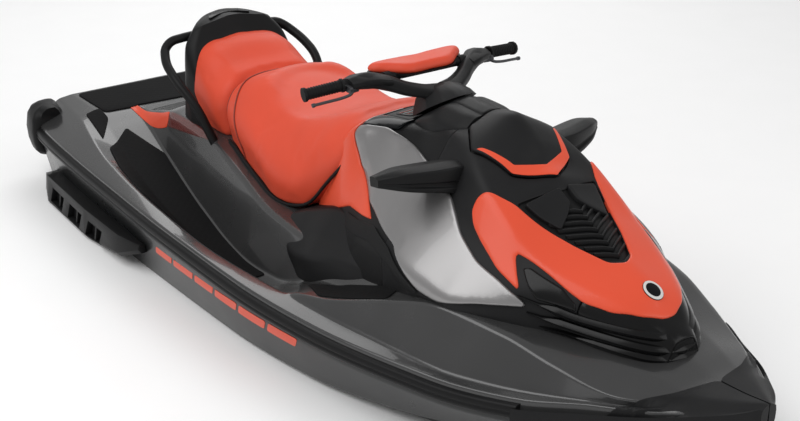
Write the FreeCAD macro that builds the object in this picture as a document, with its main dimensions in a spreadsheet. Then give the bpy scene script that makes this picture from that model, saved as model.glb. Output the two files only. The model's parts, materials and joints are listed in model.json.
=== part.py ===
import FreeCAD, Part
import math
import os
import Sketcher
from FreeCAD import Rotation, Vector

# Personal watercraft: a decked hull with a jet pump, a two-up seat and a steered
# handlebar. Millimetres, +X to the bow, +Y to port, +Z up, origin at mid-length on
# the centre plane at the still-water line. Heights named in the sheet and in the
# form lines are above the keel, and up() takes them to the waterline.

doc = FreeCAD.newDocument("Watercraft")
sheet = doc.addObject("Spreadsheet::Sheet", "Sizes")

SIZES = [
    ("hull_length", 3318), ("hull_beam", 1255), ("drawn_length", 3318),
    ("drawn_beam", 1255), ("draft", 215),
    ("seam", 0.3), ("panel_wall", 13), ("keel_pad", 30),
    ("engine_length", 700), ("engine_width", 380), ("engine_height", 370),
    ("engine_from_aft", -330), ("engine_base", 120), ("bay_gap", 20),
    ("pump_height", 150), ("pump_radius", 79), ("pump_wall", 9),
    ("pump_length", 330), ("pump_front", -1060), ("pump_flange", 13), ("transom", -1490),
    ("shaft_radius", 14), ("shaft_clearance", 0.5), ("hub_radius", 36), ("tail_radius", 12),
    ("stator_setback", 160), ("hub_length", 100), ("tail_length", 100), ("bearing_length", 40),
    ("blade_count", 4), ("blade_thickness", 9.5), ("blade_tip_gap", 1), ("blade_sweep", 95),
    ("blade_length", 84), ("blade_setback", 58),
    ("vane_count", 8), ("vane_thickness", 4), ("vane_length", 90),
    ("venturi_exit", 46), ("venturi_cone", 90), ("venturi_tail", 40),
    ("nozzle_exit", 40), ("nozzle_length", 150), ("nozzle_wall", 6), ("nozzle_gap", 12),
    ("nozzle_overlap", 6), ("pivot_setback", 4), ("ear_width", 30), ("ear_gap", 5),
    ("ear_thickness", 10), ("pin_fit", 0.05),
    ("boss_radius", 14), ("boss_reach", 66), ("bucket_pivot", 55), ("pivot_radius", 6),
    ("bucket_inner", 104), ("bucket_wall", 6), ("cheek_reach", 74),
    ("tunnel_width", 236), ("ride_plate_thickness", 8), ("ride_plate_height", 36),
    ("duct_width", 150), ("duct_front", -520), ("grate_bar", 8), ("grate_count", 4),
    ("rail_height", 46), ("rail_depth", 18), ("mat_thickness", 5),
    ("platform_length", 265), ("platform_width", 660), ("platform_aft", -1600),
    ("platform_height", 512),
    ("grip_radius", 17), ("grip_length", 122), ("bar_radius", 11), ("lever_radius", 5),
    ("grip_half_span", 394), ("grip_height", 1024), ("grip_station", 206),
    ("column_radius", 30), ("column_length", 70), ("hub_height", 60), ("column_rake", 32),
    ("column_station", 352), ("column_top", 958), ("steer_gap", 0.3),
    ("handle_radius", 17),
    ("lid_gap", 5), ("panel_gap", 1), ("floor_wall", 12), ("bin_depth", 240), ("bin_wall", 4),
    ("louvre_count", 7), ("louvre_pitch", 24), ("louvre_width", 9),
    ("hinge_radius", 5), ("hinge_pin", 2.5), ("hinge_arm", 16), ("hinge_clearance", 5),
    ("lid_hinge_station", 872), ("lid_hinge_height", 905), ("lid_sweep", 21),
    ("glove_hinge_station", 326), ("glove_hinge_height", 922),
    ("badge_radius", 26), ("badge_thickness", 3), ("badge_station", 1252),
    ("sponson_aft", -1400), ("sponson_length", 880), ("sponson_depth", 44),
    ("sponson_pockets", 3), ("pocket_depth", 26),
    ("eye_radius", 26), ("eye_bar", 5), ("bow_eye_station", 1616), ("bow_eye_height", 400),
    ("stern_eye_span", 300), ("stern_eye_height", 330),
]
for row, (alias, value) in enumerate(SIZES, start=1):
    sheet.set(f"A{row}", alias)
    sheet.set(f"B{row}", str(value))
    sheet.setAlias(f"B{row}", alias)
doc.recompute()


def size(alias):
    return float(getattr(sheet, alias))


# The form lines were drawn at one length and beam, and stretch with the sheet's.
STRETCH = size("hull_length") / size("drawn_length")
WIDEN = size("hull_beam") / size("drawn_beam")
SEAM = size("seam")
FIT = size("pin_fit")
# The jet pump keeps its distance from the transom at any length of hull.
PUMP_X = size("transom") * STRETCH + size("pump_front") - size("transom")
parts = {}


def fore(x):
    return x * STRETCH


def out(y):
    return y * WIDEN


def up(height):
    return height - size("draft")


def at(x, y, height):
    return Vector(fore(x), y, up(height))


def keep(label, shape):
    """One sub-part whose shape comes from form lines."""
    feature = doc.addObject("Part::Feature", label)
    feature.Label = label
    feature.Shape = shape
    feature.Placement = FreeCAD.Placement()
    parts[label] = feature
    return feature


def bind(thing, sizes):
    for name, expression in sizes.items():
        thing.setExpression(name, expression)


def solids(pieces):
    return pieces[0] if len(pieces) == 1 else Part.makeCompound(pieces)


def big(shape, least=2000):
    """The shape's solids without the slivers that a cut leaves, in cubic millimetres."""
    return solids([s for s in shape.Solids if s.Volume > least])


def largest(shape):
    return max(shape.Solids, key=lambda s: s.Volume)


def port(shape):
    return shape.mirror(Vector(0, 0, 0), Vector(0, 1, 0))


def both(shape):
    """The starboard piece as drawn with its port twin."""
    return Part.makeCompound(list(shape.Solids) + list(port(shape).Solids))


# Form lines: points (x, y, height) from stern to bow, joined by smooth curves

def along(line, x):
    """Monotone cubic through the line's points, so that no line overshoots."""
    xs = [p[0] for p in line]
    if x <= xs[0]:
        return line[0][1:]
    if x >= xs[-1]:
        return line[-1][1:]
    i = max(k for k in range(len(xs) - 1) if xs[k] <= x)
    span = xs[i + 1] - xs[i]
    t = (x - xs[i]) / span
    found = []
    for axis in (1, 2):
        vs = [p[axis] for p in line]
        slopes = [(vs[k + 1] - vs[k]) / (xs[k + 1] - xs[k]) for k in range(len(xs) - 1)]

        def tangent(k):
            before = slopes[max(k - 1, 0)]
            after = slopes[min(k, len(slopes) - 1)]
            if before * after <= 0:
                return 0.0
            return 2 * before * after / (before + after)

        found.append(vs[i] * (1 + 2 * t) * (1 - t) ** 2 + tangent(i) * span * t * (1 - t) ** 2
                     + vs[i + 1] * t * t * (3 - 2 * t)
                     - tangent(i + 1) * span * t * t * (1 - t))
    return tuple(found)


RAIL = [(-1620, 505, 420), (-1500, 556, 425), (-1200, 590, 430), (-800, 612, 430),
        (-300, 627.5, 428), (100, 620, 418), (500, 578, 410), (900, 485, 412),
        (1160, 400, 438), (1310, 305, 462), (1450, 215, 488), (1540, 140, 508),
        (1610, 75, 526), (1650, 22, 540)]
GUNWALE = [(-1620, 400, 505), (-1370, 430, 502), (-930, 510, 482), (-480, 548, 468),
           (-190, 552, 456), (90, 534, 450), (520, 492, 450), (760, 452, 450),
           (910, 425, 452), (1030, 388, 460), (1140, 345, 470), (1300, 262, 490),
           (1420, 193, 508), (1530, 112, 528), (1610, 50, 545), (1650, 12, 556)]
FLOOR_OUT = [(-1620, 345, 512), (-1400, 345, 512), (-1250, 360, 488), (-1000, 400, 430),
             (-600, 442, 365), (-200, 458, 330), (0, 470, 348), (200, 494, 420),
             (320, 500, 464), (430, 488, 487), (650, 418, 550), (850, 372, 597),
             (1050, 330, 588), (1200, 292, 556), (1370, 230, 524), (1480, 140, 530),
             (1570, 70, 543), (1650, 8, 558)]
FLOOR_IN = [(-1620, 200, 512), (-1400, 200, 512), (-1250, 215, 490), (-1000, 250, 432),
            (-600, 320, 367), (-200, 375, 332), (0, 386, 350), (200, 396, 422),
            (320, 400, 468), (430, 398, 492), (650, 392, 556), (850, 355, 604),
            (1050, 312, 594), (1200, 275, 562), (1370, 215, 529), (1480, 130, 534),
            (1570, 62, 547), (1650, 6, 559)]
PEDESTAL = [(-1620, 190, 512), (-1300, 190, 512), (-1150, 192, 545), (-1000, 205, 580),
            (-700, 235, 590), (-400, 285, 560), (-100, 335, 530), (150, 350, 530),
            (430, 340, 545), (850, 300, 600), (1050, 240, 590), (1220, 170, 560),
            (1390, 120, 545), (1480, 90, 540), (1570, 45, 550), (1650, 4, 560)]
SADDLE = [(-1620, 0, 512), (-1300, 0, 512), (-1150, 0, 560), (-1000, 0, 612),
          (-700, 0, 622), (-400, 0, 600), (-100, 0, 580), (150, 0, 560), (430, 0, 560),
          (850, 0, 600), (1050, 0, 600), (1220, 0, 575), (1390, 0, 560), (1480, 0, 548),
          (1570, 0, 553), (1650, 0, 561)]
KEEL = [(-1490, 0, 0), (500, 0, 0), (900, 0, 18), (1200, 0, 80), (1400, 0, 170),
        (1520, 0, 272), (1600, 0, 380), (1650, 0, 500)]
STRAKE = [(-1490, 270, 100), (400, 262, 100), (700, 235, 108), (900, 205, 130),
          (1200, 135, 190), (1400, 82, 265), (1520, 52, 345), (1600, 30, 430),
          (1650, 10, 515)]
CHINE = [(-1490, 498, 205), (-600, 560, 212), (0, 555, 216), (400, 520, 226),
         (700, 455, 248), (900, 395, 275), (1200, 272, 335), (1400, 165, 398),
         (1520, 98, 446), (1600, 52, 488), (1650, 15, 528)]

# Front body: the frame under the hood, wings and lid, its own four lines
BODY_FOOT = [(10, 228, 480), (60, 240, 480), (200, 300, 470), (430, 360, 470), (850, 345, 560),
             (1050, 300, 550), (1220, 250, 520), (1400, 175, 497), (1500, 95, 512)]
BODY_SIDE = [(10, 216, 570), (60, 228, 590), (200, 268, 600), (300, 306, 622), (400, 338, 650),
             (520, 358, 668), (700, 382, 645), (850, 368, 622), (950, 315, 628),
             (1040, 255, 628), (1130, 226, 610), (1220, 172, 590), (1400, 118, 560),
             (1500, 76, 515)]
BODY_EDGE = [(10, 176, 690), (60, 190, 740), (170, 196, 855), (290, 162, 882), (410, 160, 868),
             (520, 182, 853), (750, 232, 788), (910, 258, 710), (1000, 246, 670),
             (1130, 204, 640), (1220, 152, 613), (1400, 92, 572), (1500, 62, 522)]
BODY_RIDGE = [(10, 100, 720), (60, 115, 780), (170, 138, 876), (290, 118, 902), (420, 118, 915),
              (560, 126, 945), (680, 160, 925), (800, 184, 868), (900, 190, 803),
              (1000, 184, 743), (1130, 158, 690), (1250, 115, 648), (1400, 64, 582),
              (1500, 34, 527)]
BODY_TOP = [(10, 0, 730), (60, 0, 792), (170, 0, 884), (290, 0, 908), (420, 0, 930), (560, 0, 985),
            (670, 0, 1014), (760, 0, 960), (820, 0, 904), (870, 0, 889), (910, 0, 857),
            (1000, 0, 812), (1130, 0, 744), (1250, 0, 697), (1310, 0, 634),
            (1400, 0, 588), (1500, 0, 530)]

DECK_STATIONS = [-1620, -1550, -1490, -1400, -1330, -1220, -1080, -920, -720, -480, -240, -60,
                 110, 250, 380, 520, 680, 850, 1000, 1130, 1250, 1360, 1450, 1530, 1600, 1650]
BODY_STATIONS = [10, 60, 120, 180, 250, 320, 400, 480, 560, 615, 670, 740, 780, 820, 850, 890,
                 930, 980, 1050, 1120, 1180, 1250, 1310, 1400, 1500]
HULL_STATIONS = [x for x in DECK_STATIONS if x >= size("transom")]


def facet(a, b, c):
    return Part.Face(Part.makePolygon([a, b, c, a]))


def through(rings, split_from=0):
    """Solid of flat facets through closed rings of equal length, with flat ends.
    Quads from the ring index split_from on are split the other way, as in a mirror."""
    count = len(rings[0])
    faces = []
    for aft, front in zip(rings, rings[1:]):
        for j in range(count):
            k = (j + 1) % count
            quad = (aft[j], aft[k], front[k], front[j])
            near = j < split_from
            for tri in ((0, 1, 2), (0, 2, 3)) if near else ((0, 1, 3), (1, 2, 3)):
                a, b, c = [quad[t] for t in tri]
                if (b - a).cross(c - a).Length > 0.01:
                    faces.append(facet(a, b, c))
    for end in (rings[0], rings[-1]):
        faces.append(Part.Face(Part.makePolygon(end + end[:1])))
    shell = Part.makeShell(faces)
    shell.sewShape()
    return Part.makeSolid(shell)


def ring(x, half):
    """Section points at x from its half outline, whose ends lie on the centre plane."""
    near = [Vector(fore(x), -out(y), up(h)) for y, h in half]
    far = [Vector(fore(x), out(y), up(h)) for y, h in reversed(half[1:-1])]
    return near + far


def form(stations, half_at):
    """Solid through the whole sections that half_at gives."""
    rings = [ring(x, half_at(x)) for x in stations]
    return through(rings, len(rings[0]) // 2)


def starboard(rows):
    """Solid through sections given as (x, [(y, height), ...]) on the starboard side."""
    return through([[Vector(fore(x), -out(y), up(h)) for y, h in corners]
                    for x, corners in rows])


def levels(rows):
    """Solid through plan outlines given as (height, [(x, y), ...])."""
    return through([[Vector(fore(x), out(y), up(h)) for x, y in corners]
                    for h, corners in rows])


def deck_half(x, drop=0.0):
    """Deck section, its underside following the sunken footwell floor."""
    y, h = along(RAIL, x)
    narrow = min(1.0, y / 300)
    y -= size("rail_depth") * narrow
    bond = (y, h + SEAM - drop)
    lip = (y - 34 * narrow, h + SEAM - drop)
    top = (y - 6 * narrow, h + 34 * narrow)
    upper = [along(line, x) for line in (GUNWALE, FLOOR_OUT, FLOOR_IN, PEDESTAL)]
    sunk = size("floor_wall") + drop
    under = [(min(a + 6 * narrow, lip[0] - room * narrow), min(b - sunk, bond[1]))
             for (a, b), room in ((upper[2], 12), (upper[1], 5))]
    saddle = along(SADDLE, x)
    return [(0, bond[1])] + under + [lip, bond, top] + upper + [(0, saddle[1])]


def hull_half(x):
    rail = along(RAIL, x)
    chine = along(CHINE, x)
    strake = along(STRAKE, x)
    keel = along(KEEL, x)
    narrow = min(1.0, rail[0] / 300)
    edge = rail[0] - size("rail_depth") * narrow
    side = (edge - 4 * narrow, rail[1] - 40 * narrow)
    return [(0, keel[1]), (size("keel_pad") * narrow, keel[1] + 3 * narrow),
            (strake[0], strake[1]), (strake[0] + 22 * narrow, strake[1] - 4 * narrow),
            (chine[0] - 20 * narrow, chine[1] - 2 * narrow), chine, side,
            (edge, rail[1]), (0, rail[1])]


def body_half(x, grow=0.0):
    """Front body section, grown outwards square to its faces."""
    foot = along(BODY_FOOT, x)
    side = along(BODY_SIDE, x)
    edge = along(BODY_EDGE, x)
    ridge = along(BODY_RIDGE, x)
    top = along(BODY_TOP, x)
    return [(0, foot[1]), (foot[0] + 0.9 * grow, foot[1]),
            (side[0] + 0.95 * grow, side[1] + 0.2 * grow),
            (edge[0] + 0.8 * grow, edge[1] + 0.75 * grow),
            (ridge[0] + 0.45 * grow, ridge[1] + 1.0 * grow),
            (0, top[1] + grow)]


def body(grow=0.0):
    return form(BODY_STATIONS, lambda x: body_half(x, grow))


def plan_prism(points, low, high):
    """Upright prism over a plan outline of (x, y) points."""
    base = [Vector(fore(x), out(y), up(low)) for x, y in points]
    wire = Part.makePolygon(base + [base[0]])
    return Part.Face(wire).extrude(Vector(0, 0, high - low))


def side_prism(points, inner, outer):
    """Prism through the starboard side over a side outline of (x, height) points."""
    base = [Vector(fore(x), -out(inner), up(h)) for x, h in points]
    wire = Part.makePolygon(base + [base[0]])
    return Part.Face(wire).extrude(Vector(0, -out(outer - inner), 0))


def block(x0, x1, y0, y1, low, high):
    corner = Vector(fore(x0), y0, up(low))
    return Part.makeBox(fore(x1) - fore(x0), y1 - y0, high - low, corner)


def rod(start, end, radius):
    """Round bar between two points given as (x, y, height)."""
    a = at(*start)
    b = at(*end)
    return Part.makeCylinder(radius, (b - a).Length, a, b - a)


def cross_rod(x, height, half, radius, inner=0.0):
    """Round bar across the craft about (x, height), from y = inner to y = half."""
    return Part.makeCylinder(radius, half - inner, at(x, inner, height), Vector(0, 1, 0))


def bar(points, radius, sides=8):
    """Bent bar of even many-sided section, mitred at each corner of its path."""
    path = [at(*p) for p in points]
    rings = []
    across = None
    for i, spot in enumerate(path):
        before = (spot - path[i - 1]).normalize() if i else None
        after = (path[i + 1] - spot).normalize() if i + 1 < len(path) else None
        run = ((before or after) + (after or before)).normalize()
        if across is None:
            across = run.cross(Vector(0, 0, 1)).normalize()
        across = (across - run * across.dot(run)).normalize()
        rise = run.cross(across)
        wide = 1.0
        bend = Vector(0, 0, 1)
        if before and after and before.getAngle(after) > 0.01:
            wide = 1 / math.cos(before.getAngle(after) / 2)
            bend = (after - before).normalize()
        row = []
        for k in range(sides):
            turn = 2 * math.pi * k / sides
            arm = across * math.cos(turn) * radius + rise * math.sin(turn) * radius
            row.append(spot + arm + bend * arm.dot(bend) * (wide - 1))
        rings.append(row)
    return through(rings)


# Outlines that are cut through more than one piece

def mirrored(points):
    """Plan outline closed over the centre plane, from its starboard half."""
    return points + [(x, -y) for x, y in reversed(points) if y != 0]


def widened(points, gap):
    """Outline moved outwards by the gap, square to its edges."""
    wire = Part.makePolygon([Vector(x, y, 0) for x, y in points + points[:1]])
    grown = wire.makeOffset2D(gap, 2)
    return [(v.X, v.Y) for v in grown.OrderedVertexes]


LID = mirrored([(592, 0), (592, -88), (680, -150), (800, -104), (868, 0)])
GRILLE = mirrored([(905, 0), (872, -142), (940, -124), (1040, -82), (1118, -44), (1140, 0)])
HOOD = mirrored([(1146, 0), (1122, -52), (1042, -90), (936, -134), (850, -152), (786, -186),
                 (762, -206), (780, -236), (830, -258), (910, -270), (985, -268),
                 (1034, -252), (985, -214), (936, -178), (1130, -148), (1182, -118),
                 (1270, -60), (1312, 0)])
INSERT = [(944, -186), (990, -218), (1042, -258), (1120, -236), (1160, -190), (1136, -156)]
GLOVE = mirrored([(190, 0), (190, -98), (322, -98), (322, 0)])
WING = [(172, 878), (220, 889), (300, 900), (380, 894), (476, 882), (584, 865), (684, 832),
        (736, 800), (788, 765), (876, 721), (952, 697), (1028, 664), (1046, 646), (936, 634),
        (828, 610), (760, 614), (700, 640), (600, 688), (484, 709), (372, 726), (248, 784),
        (204, 832)]
TRIM = [(12, 500), (12, 700), (150, 890), (172, 878), (204, 832), (248, 784), (372, 726),
        (440, 700), (260, 668), (100, 590)]
LOW, HIGH = 380, 1100


# Hull with its pump tunnel, intake duct and engine bay; deck with its footwells

def tunnel():
    half = size("tunnel_width") / 2
    axis = size("pump_height")
    aft = size("transom") - 60
    front = (PUMP_X + 30) / STRETCH
    return block(aft, front, -half, half, -40, axis).fuse(rod((aft, 0, axis), (front, 0, axis), half))


def duct():
    """Slanted intake from the bottom up to the pump's mouth."""
    half = size("duct_width") / 2
    axis = size("pump_height")
    mouth = (PUMP_X + 29) / STRETCH
    outline = [(mouth, axis - half), (mouth, axis + half),
               (mouth + 60, axis + half - 8), (size("duct_front"), -30),
               (mouth + 110, -30), (mouth + 90, 12), (mouth + 40, axis - half)]
    near = side_prism(outline, 0, half)
    return near.fuse(port(near))


def bay(gap):
    """Room for the engine, with the gap all round."""
    aft = size("engine_from_aft") - gap / STRETCH
    ahead = size("engine_from_aft") + (size("engine_length") + gap) / STRETCH
    half = size("engine_width") / 2
    base = size("engine_base")
    return block(aft, ahead, -half - gap, half + gap,
                 base - gap, base + size("engine_height") + gap)


def bin_room(gap):
    """Storage bin space under the lid."""
    outline = [(622, 80), (690, 118), (790, 100), (838, 40), (838, -40), (790, -100),
               (690, -118), (622, -80)]
    grown = [(x + math.copysign(gap, x - 730), y + math.copysign(gap, y)) for x, y in outline]
    return plan_prism(grown, 960 - size("bin_depth") - gap, HIGH)


def glove_room():
    return block(208, 306, -66, 66, 790, 960)


def shaft_bore(radius):
    axis = size("pump_height")
    return rod((PUMP_X / STRETCH, 0, axis), (size("engine_from_aft"), 0, axis), radius)


deck_form = form(DECK_STATIONS, deck_half)
hull_shape = form(HULL_STATIONS, hull_half)
for cutter in (tunnel(), duct(), bay(size("bay_gap")),
               shaft_bore(size("shaft_radius") + size("shaft_clearance")),
               form(DECK_STATIONS, lambda x: deck_half(x, SEAM))):
    hull_shape = hull_shape.cut(cutter)
hull_shape = largest(hull_shape)
keep("hull", hull_shape)
deck_shape = largest(deck_form.cut(tunnel()).cut(bay(size("bay_gap"))))
keep("deck", deck_shape)


# Seats: plain closed solids, one behind the other, the front one over the body's rear end

def seat(rows):
    return through([ring(x, [(0, bottom), low, mid, top, (0, crown)])
                    for x, bottom, low, mid, top, crown in rows], 4)


FRONT_SEAT = [(-614, 590, (190, 590), (210, 720), (165, 792), 800),
              (-540, 580, (208, 580), (236, 725), (176, 826), 838),
              (-440, 560, (230, 560), (256, 720), (178, 848), 860),
              (-300, 550, (258, 550), (284, 690), (190, 828), 842),
              (-150, 540, (285, 540), (306, 665), (202, 804), 824),
              (-20, 556, (264, 556), (294, 662), (196, 832), 850),
              (40, 608, (250, 608), (270, 704), (190, 856), 876),
              (100, 680, (238, 680), (250, 752), (180, 874), 894),
              (150, 745, (222, 745), (230, 800), (168, 880), 900),
              (176, 790, (196, 790), (202, 834), (146, 874), 890)]
REAR_SEAT = [(-915, 590, (160, 590), (178, 740), (140, 862), 885),
             (-885, 590, (180, 590), (204, 760), (172, 868), 903),
             (-800, 590, (190, 590), (216, 760), (178, 858), 886),
             (-700, 590, (196, 590), (220, 740), (172, 822), 830),
             (-615, 590, (190, 590), (210, 720), (165, 792), 800)]
deck_skin = deck_shape.translated(Vector(0, 0, SEAM))
front_seat = largest(seat(FRONT_SEAT).cut(deck_skin))
rear_seat = largest(seat(REAR_SEAT).cut(deck_skin))
keep("seat_front", front_seat)
keep("seat_rear", rear_seat)
ROOM = 2 * SEAM
SEAT_ROOM = [(x + (ROOM if x > 100 else 0), bottom - ROOM, (low[0] + ROOM, low[1] - ROOM),
              (mid[0] + ROOM, mid[1]), (top[0] + ROOM, top[1] + ROOM), crown + ROOM)
             for x, bottom, low, mid, top, crown in FRONT_SEAT]
seat_room = seat(SEAT_ROOM)


# Front body: the core under the hood, wings and lid, with the storage bin and glovebox in it

core = body().cut(deck_form).cut(seat_room)
lid_sweep = cross_rod(size("lid_hinge_station"), size("lid_hinge_height"), 26,
                      size("lid_sweep"), -26)
for cutter in (bin_room(size("bin_wall") + SEAM), glove_room(), lid_sweep):
    core = core.cut(cutter)
core = largest(core)
keep("front_body", core)
skin = body(size("panel_wall")).cut(body(SEAM)).cut(deck_skin).cut(seat_room)
bin_outer = bin_room(size("bin_wall")).common(block(500, 1000, -300, 300, 0, 934))
keep("storage_bin", big(bin_outer.cut(bin_room(0)).common(body()), 50000))


# Hinges across the craft: a fixed centre knuckle with its pin, two knuckles on the lid

def knuckle(x, height, inner, outer, toward):
    """Barrel about the hinge line with an arm, bored for the pin."""
    radius = size("hinge_radius")
    barrel = cross_rod(x, height, outer, radius, inner)
    reach = x + math.copysign(size("hinge_arm"), toward)
    arm = block(min(x, reach), max(x, reach), inner, outer, height - radius, height)
    return barrel.fuse(arm)


def hinge_parts(x, height, middle, outer):
    """Fixed half, moving half and the room to cut from the fixed panels round them."""
    pin = cross_rod(x, height, outer, size("hinge_pin"), -outer)
    fixed = knuckle(x, height, -middle, middle, 1).fuse(pin)
    bore = cross_rod(x, height, outer + 1, size("hinge_pin") + FIT, -outer - 1)
    leaf = knuckle(x, height, middle + 1, outer, -1)
    moving = leaf.fuse(port(leaf)).cut(bore)
    room = cross_rod(x, height, outer + 4, size("hinge_radius") + 4, -outer - 4)
    return fixed, moving, room


lid_fixed, lid_moving, lid_room = hinge_parts(
    size("lid_hinge_station"), size("lid_hinge_height"), 6, 15)
glove_fixed, glove_moving, glove_hinge_room = hinge_parts(
    size("glove_hinge_station"), size("glove_hinge_height"), 12, 34)


# Panels over the front body, split where the real ones meet

wing_cut = side_prism(WING, 90, 520)
trim_cut = side_prism(TRIM, 90, 520)
hood_cut = plan_prism(HOOD, LOW, HIGH)
grille_cut = plan_prism(GRILLE, LOW, HIGH)
insert_cut = plan_prism(INSERT, LOW, HIGH)
lid_cut = plan_prism(widened(LID, size("lid_gap")), LOW, HIGH)
glove_cut = plan_prism(widened(GLOVE, size("lid_gap")), LOW, HIGH)

keep("wings", both(skin.common(wing_cut)))
keep("seat_trim", both(big(skin.common(trim_cut).cut(wing_cut))))
hood = skin.common(hood_cut).cut(wing_cut).cut(port(wing_cut))
hood = big(hood)
keep("hood", hood)
keep("hood_inserts", both(big(skin.common(insert_cut).cut(wing_cut).cut(hood_cut))))
lid = big(skin.common(plan_prism(LID, LOW, HIGH))).cut(lid_room)
keep("storage_lid", largest(lid.fuse(lid_moving)))
glove_lid = big(skin.common(plan_prism(GLOVE, LOW, HIGH))).cut(glove_hinge_room)
keep("glovebox_lid", largest(glove_lid.fuse(glove_moving)))
rest = skin
for cutter in (hood_cut, lid_cut, glove_cut, grille_cut, insert_cut, port(insert_cut),
               wing_cut, port(wing_cut), trim_cut, port(trim_cut)):
    rest = rest.cut(cutter)
console = rest.common(block(0, 560, -600, 600, LOW, HIGH)).cut(glove_hinge_room)
surround = rest.common(block(560 + size("panel_gap"), 1040, -600, 600, LOW, HIGH))
surround = surround.cut(lid_room)
nose = rest.common(block(1040 + size("panel_gap"), 1600, -600, 600, LOW, HIGH))


# Vent ahead of the lid: a sunk floor, two raised plates and chevron ribs that point forward

VENT_PLATE = [(907, -16), (884, -120), (932, -112), (985, -86), (966, -44), (940, -16)]


def chevron(x):
    """Plan outline of one rib from edge to edge, its point on the centre plane."""
    wide = size("louvre_width")
    half = 0.9 * along([(900, 132, 0), (1040, 80, 0), (1118, 42, 0), (1140, 8, 0)], x)[0]
    sweep = 0.55 * half
    return [(x, 0), (x - sweep, -half), (x - sweep - wide, -half), (x - 1.2 * wide, 0),
            (x - sweep - wide, half), (x - sweep, half)]


floor = body(4).cut(body(SEAM)).common(grille_cut)
raised = body(size("panel_wall") - 2).cut(body(SEAM)).common(grille_cut)
vent = floor.fuse([raised.common(plan_prism(VENT_PLATE, LOW, HIGH)),
                   raised.common(port(plan_prism(VENT_PLATE, LOW, HIGH)))])
ribs = body(size("panel_wall") - 4).cut(body(SEAM)).common(grille_cut)
for k in range(int(size("louvre_count"))):
    outline = chevron(980 + size("louvre_pitch") * k)
    vent = vent.fuse(ribs.common(plan_prism(outline, LOW, HIGH)))
keep("vent_grille", largest(vent))


# Rub rails, corner caps and bow bumper round the hull

RAIL_STATIONS = [x for x in DECK_STATIONS if -1490 <= x <= 1130] + [1170]


def rail_corners(x):
    y, h = along(RAIL, x)
    narrow = min(1.0, y / 300)
    depth = size("rail_depth") * narrow
    high = size("rail_height") / 2
    inner = y - depth - 12
    return [(inner, h - high), (y - depth * 0.3, h - high + 3), (y, h - 6), (y, h + 6),
            (y - depth * 0.35, h + high - 2), (inner, h + high)]


rail = starboard([(x, rail_corners(x)) for x in RAIL_STATIONS])
rail = rail.cut(hull_shape).cut(deck_shape)
keep("rub_rails", both(big(rail, 100000)))


def cap_outline(inset):
    return [(-1490.5, -420), (-1490.5, -565 + inset), (-1560, -560 + inset),
            (-1620, -545 + inset), (-1655 + inset, -505 + inset),
            (-1659 + inset, -440 + inset), (-1640 + inset, -400)]


cap = levels([(h, cap_outline(inset)) for h, inset in
              ((330, 34), (385, 4), (430, 0), (470, 6), (500, 26), (520, 60))])
cap = cap.cut(hull_shape).cut(deck_shape).cut(rail)
keep("corner_caps", both(big(cap, 100000)))


def bumper_half(x):
    y, h = along(RAIL, x)
    gunwale = along(GUNWALE, x)
    crest = along(FLOOR_OUT, x)
    return [(0, h - 44), (max(y - 16, 6), h - 42), (y, h - 8), (y - 1, h + 12),
            (gunwale[0] + 3, gunwale[1] + 14), (crest[0], crest[1] + 9),
            (0, crest[1] + 8)]


BOW_STATIONS = [1171] + [x for x in DECK_STATIONS if x > 1200]
bumper = form(BOW_STATIONS + [1658], bumper_half)
bumper = big(bumper.cut(hull_shape).cut(deck_shape), 100000)
keep("bow_bumper", bumper)

keep("console", big(console.fuse(glove_fixed), 20000))
keep("hood_surround", big(surround.fuse(lid_fixed), 20000))
keep("nose_trim", big(nose.cut(bumper), 10000))


# Mats on the footwell floors; the platform's mat is a plain slab

def mat_corners(x):
    thick = size("mat_thickness")
    inner = along(FLOOR_IN, x)
    outer = along(FLOOR_OUT, x)

    def level(y):
        share = (y - inner[0]) / (outer[0] - inner[0])
        return inner[1] + share * (outer[1] - inner[1]) + SEAM

    a, b = inner[0] + 14, outer[0] - 10
    return [(a, level(a)), (b, level(b)), (b, level(b) + thick), (a, level(a) + thick)]


mat = starboard([(x, mat_corners(x)) for x in DECK_STATIONS if -1230 < x < -50])
keep("footwell_mats", both(largest(mat.cut(deck_shape))))


# Side boxes below the seat's front

SIDE_BOX = [(-30, [(200, 450), (335, 450), (335, 485), (298, 550), (200, 555)]),
            (60, [(200, 398), (366, 398), (372, 470), (292, 590), (200, 590)]),
            (215, [(200, 428), (402, 428), (396, 510), (284, 636), (200, 636)]),
            (380, [(200, 490), (385, 490), (372, 552), (304, 612), (200, 612)]),
            (550, [(200, 548), (338, 548), (334, 556), (318, 570), (200, 570)])]
side_box = starboard(SIDE_BOX).cut(deck_shape).cut(seat_room)
side_box = side_box.cut(body(size("panel_wall") + SEAM))
keep("side_boxes", both(largest(side_box)))


# Plain blocks: engine, ride plate under the pump and the platform's mat

def slab(label, length, width, height, x, z):
    """Box centred across the craft, its sizes and place bound to the sheet."""
    thing = doc.addObject("Part::Box", label)
    thing.Label = label
    bind(thing, {"Length": length, "Width": width, "Height": height,
                 "Placement.Base.x": f"{x} * Sizes.hull_length / Sizes.drawn_length",
                 "Placement.Base.y": f"-({width}) / 2",
                 "Placement.Base.z": f"{z} - Sizes.draft"})
    parts[label] = thing


slab("engine", "Sizes.engine_length", "Sizes.engine_width", "Sizes.engine_height",
     "Sizes.engine_from_aft", "Sizes.engine_base - Sizes.bay_gap + Sizes.seam")
slab("ride_plate", "(Sizes.pump_front + 20 - Sizes.transom)",
     "(Sizes.tunnel_width - 2 * Sizes.seam)",
     "Sizes.ride_plate_thickness", "Sizes.transom", "Sizes.ride_plate_height")
slab("platform_mat", "Sizes.platform_length * Sizes.hull_length / Sizes.drawn_length",
     "Sizes.platform_width", "Sizes.mat_thickness", "Sizes.platform_aft",
     "Sizes.platform_height + Sizes.seam")


# Steering column, handlebar, grips and levers about the raked steering axis

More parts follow.
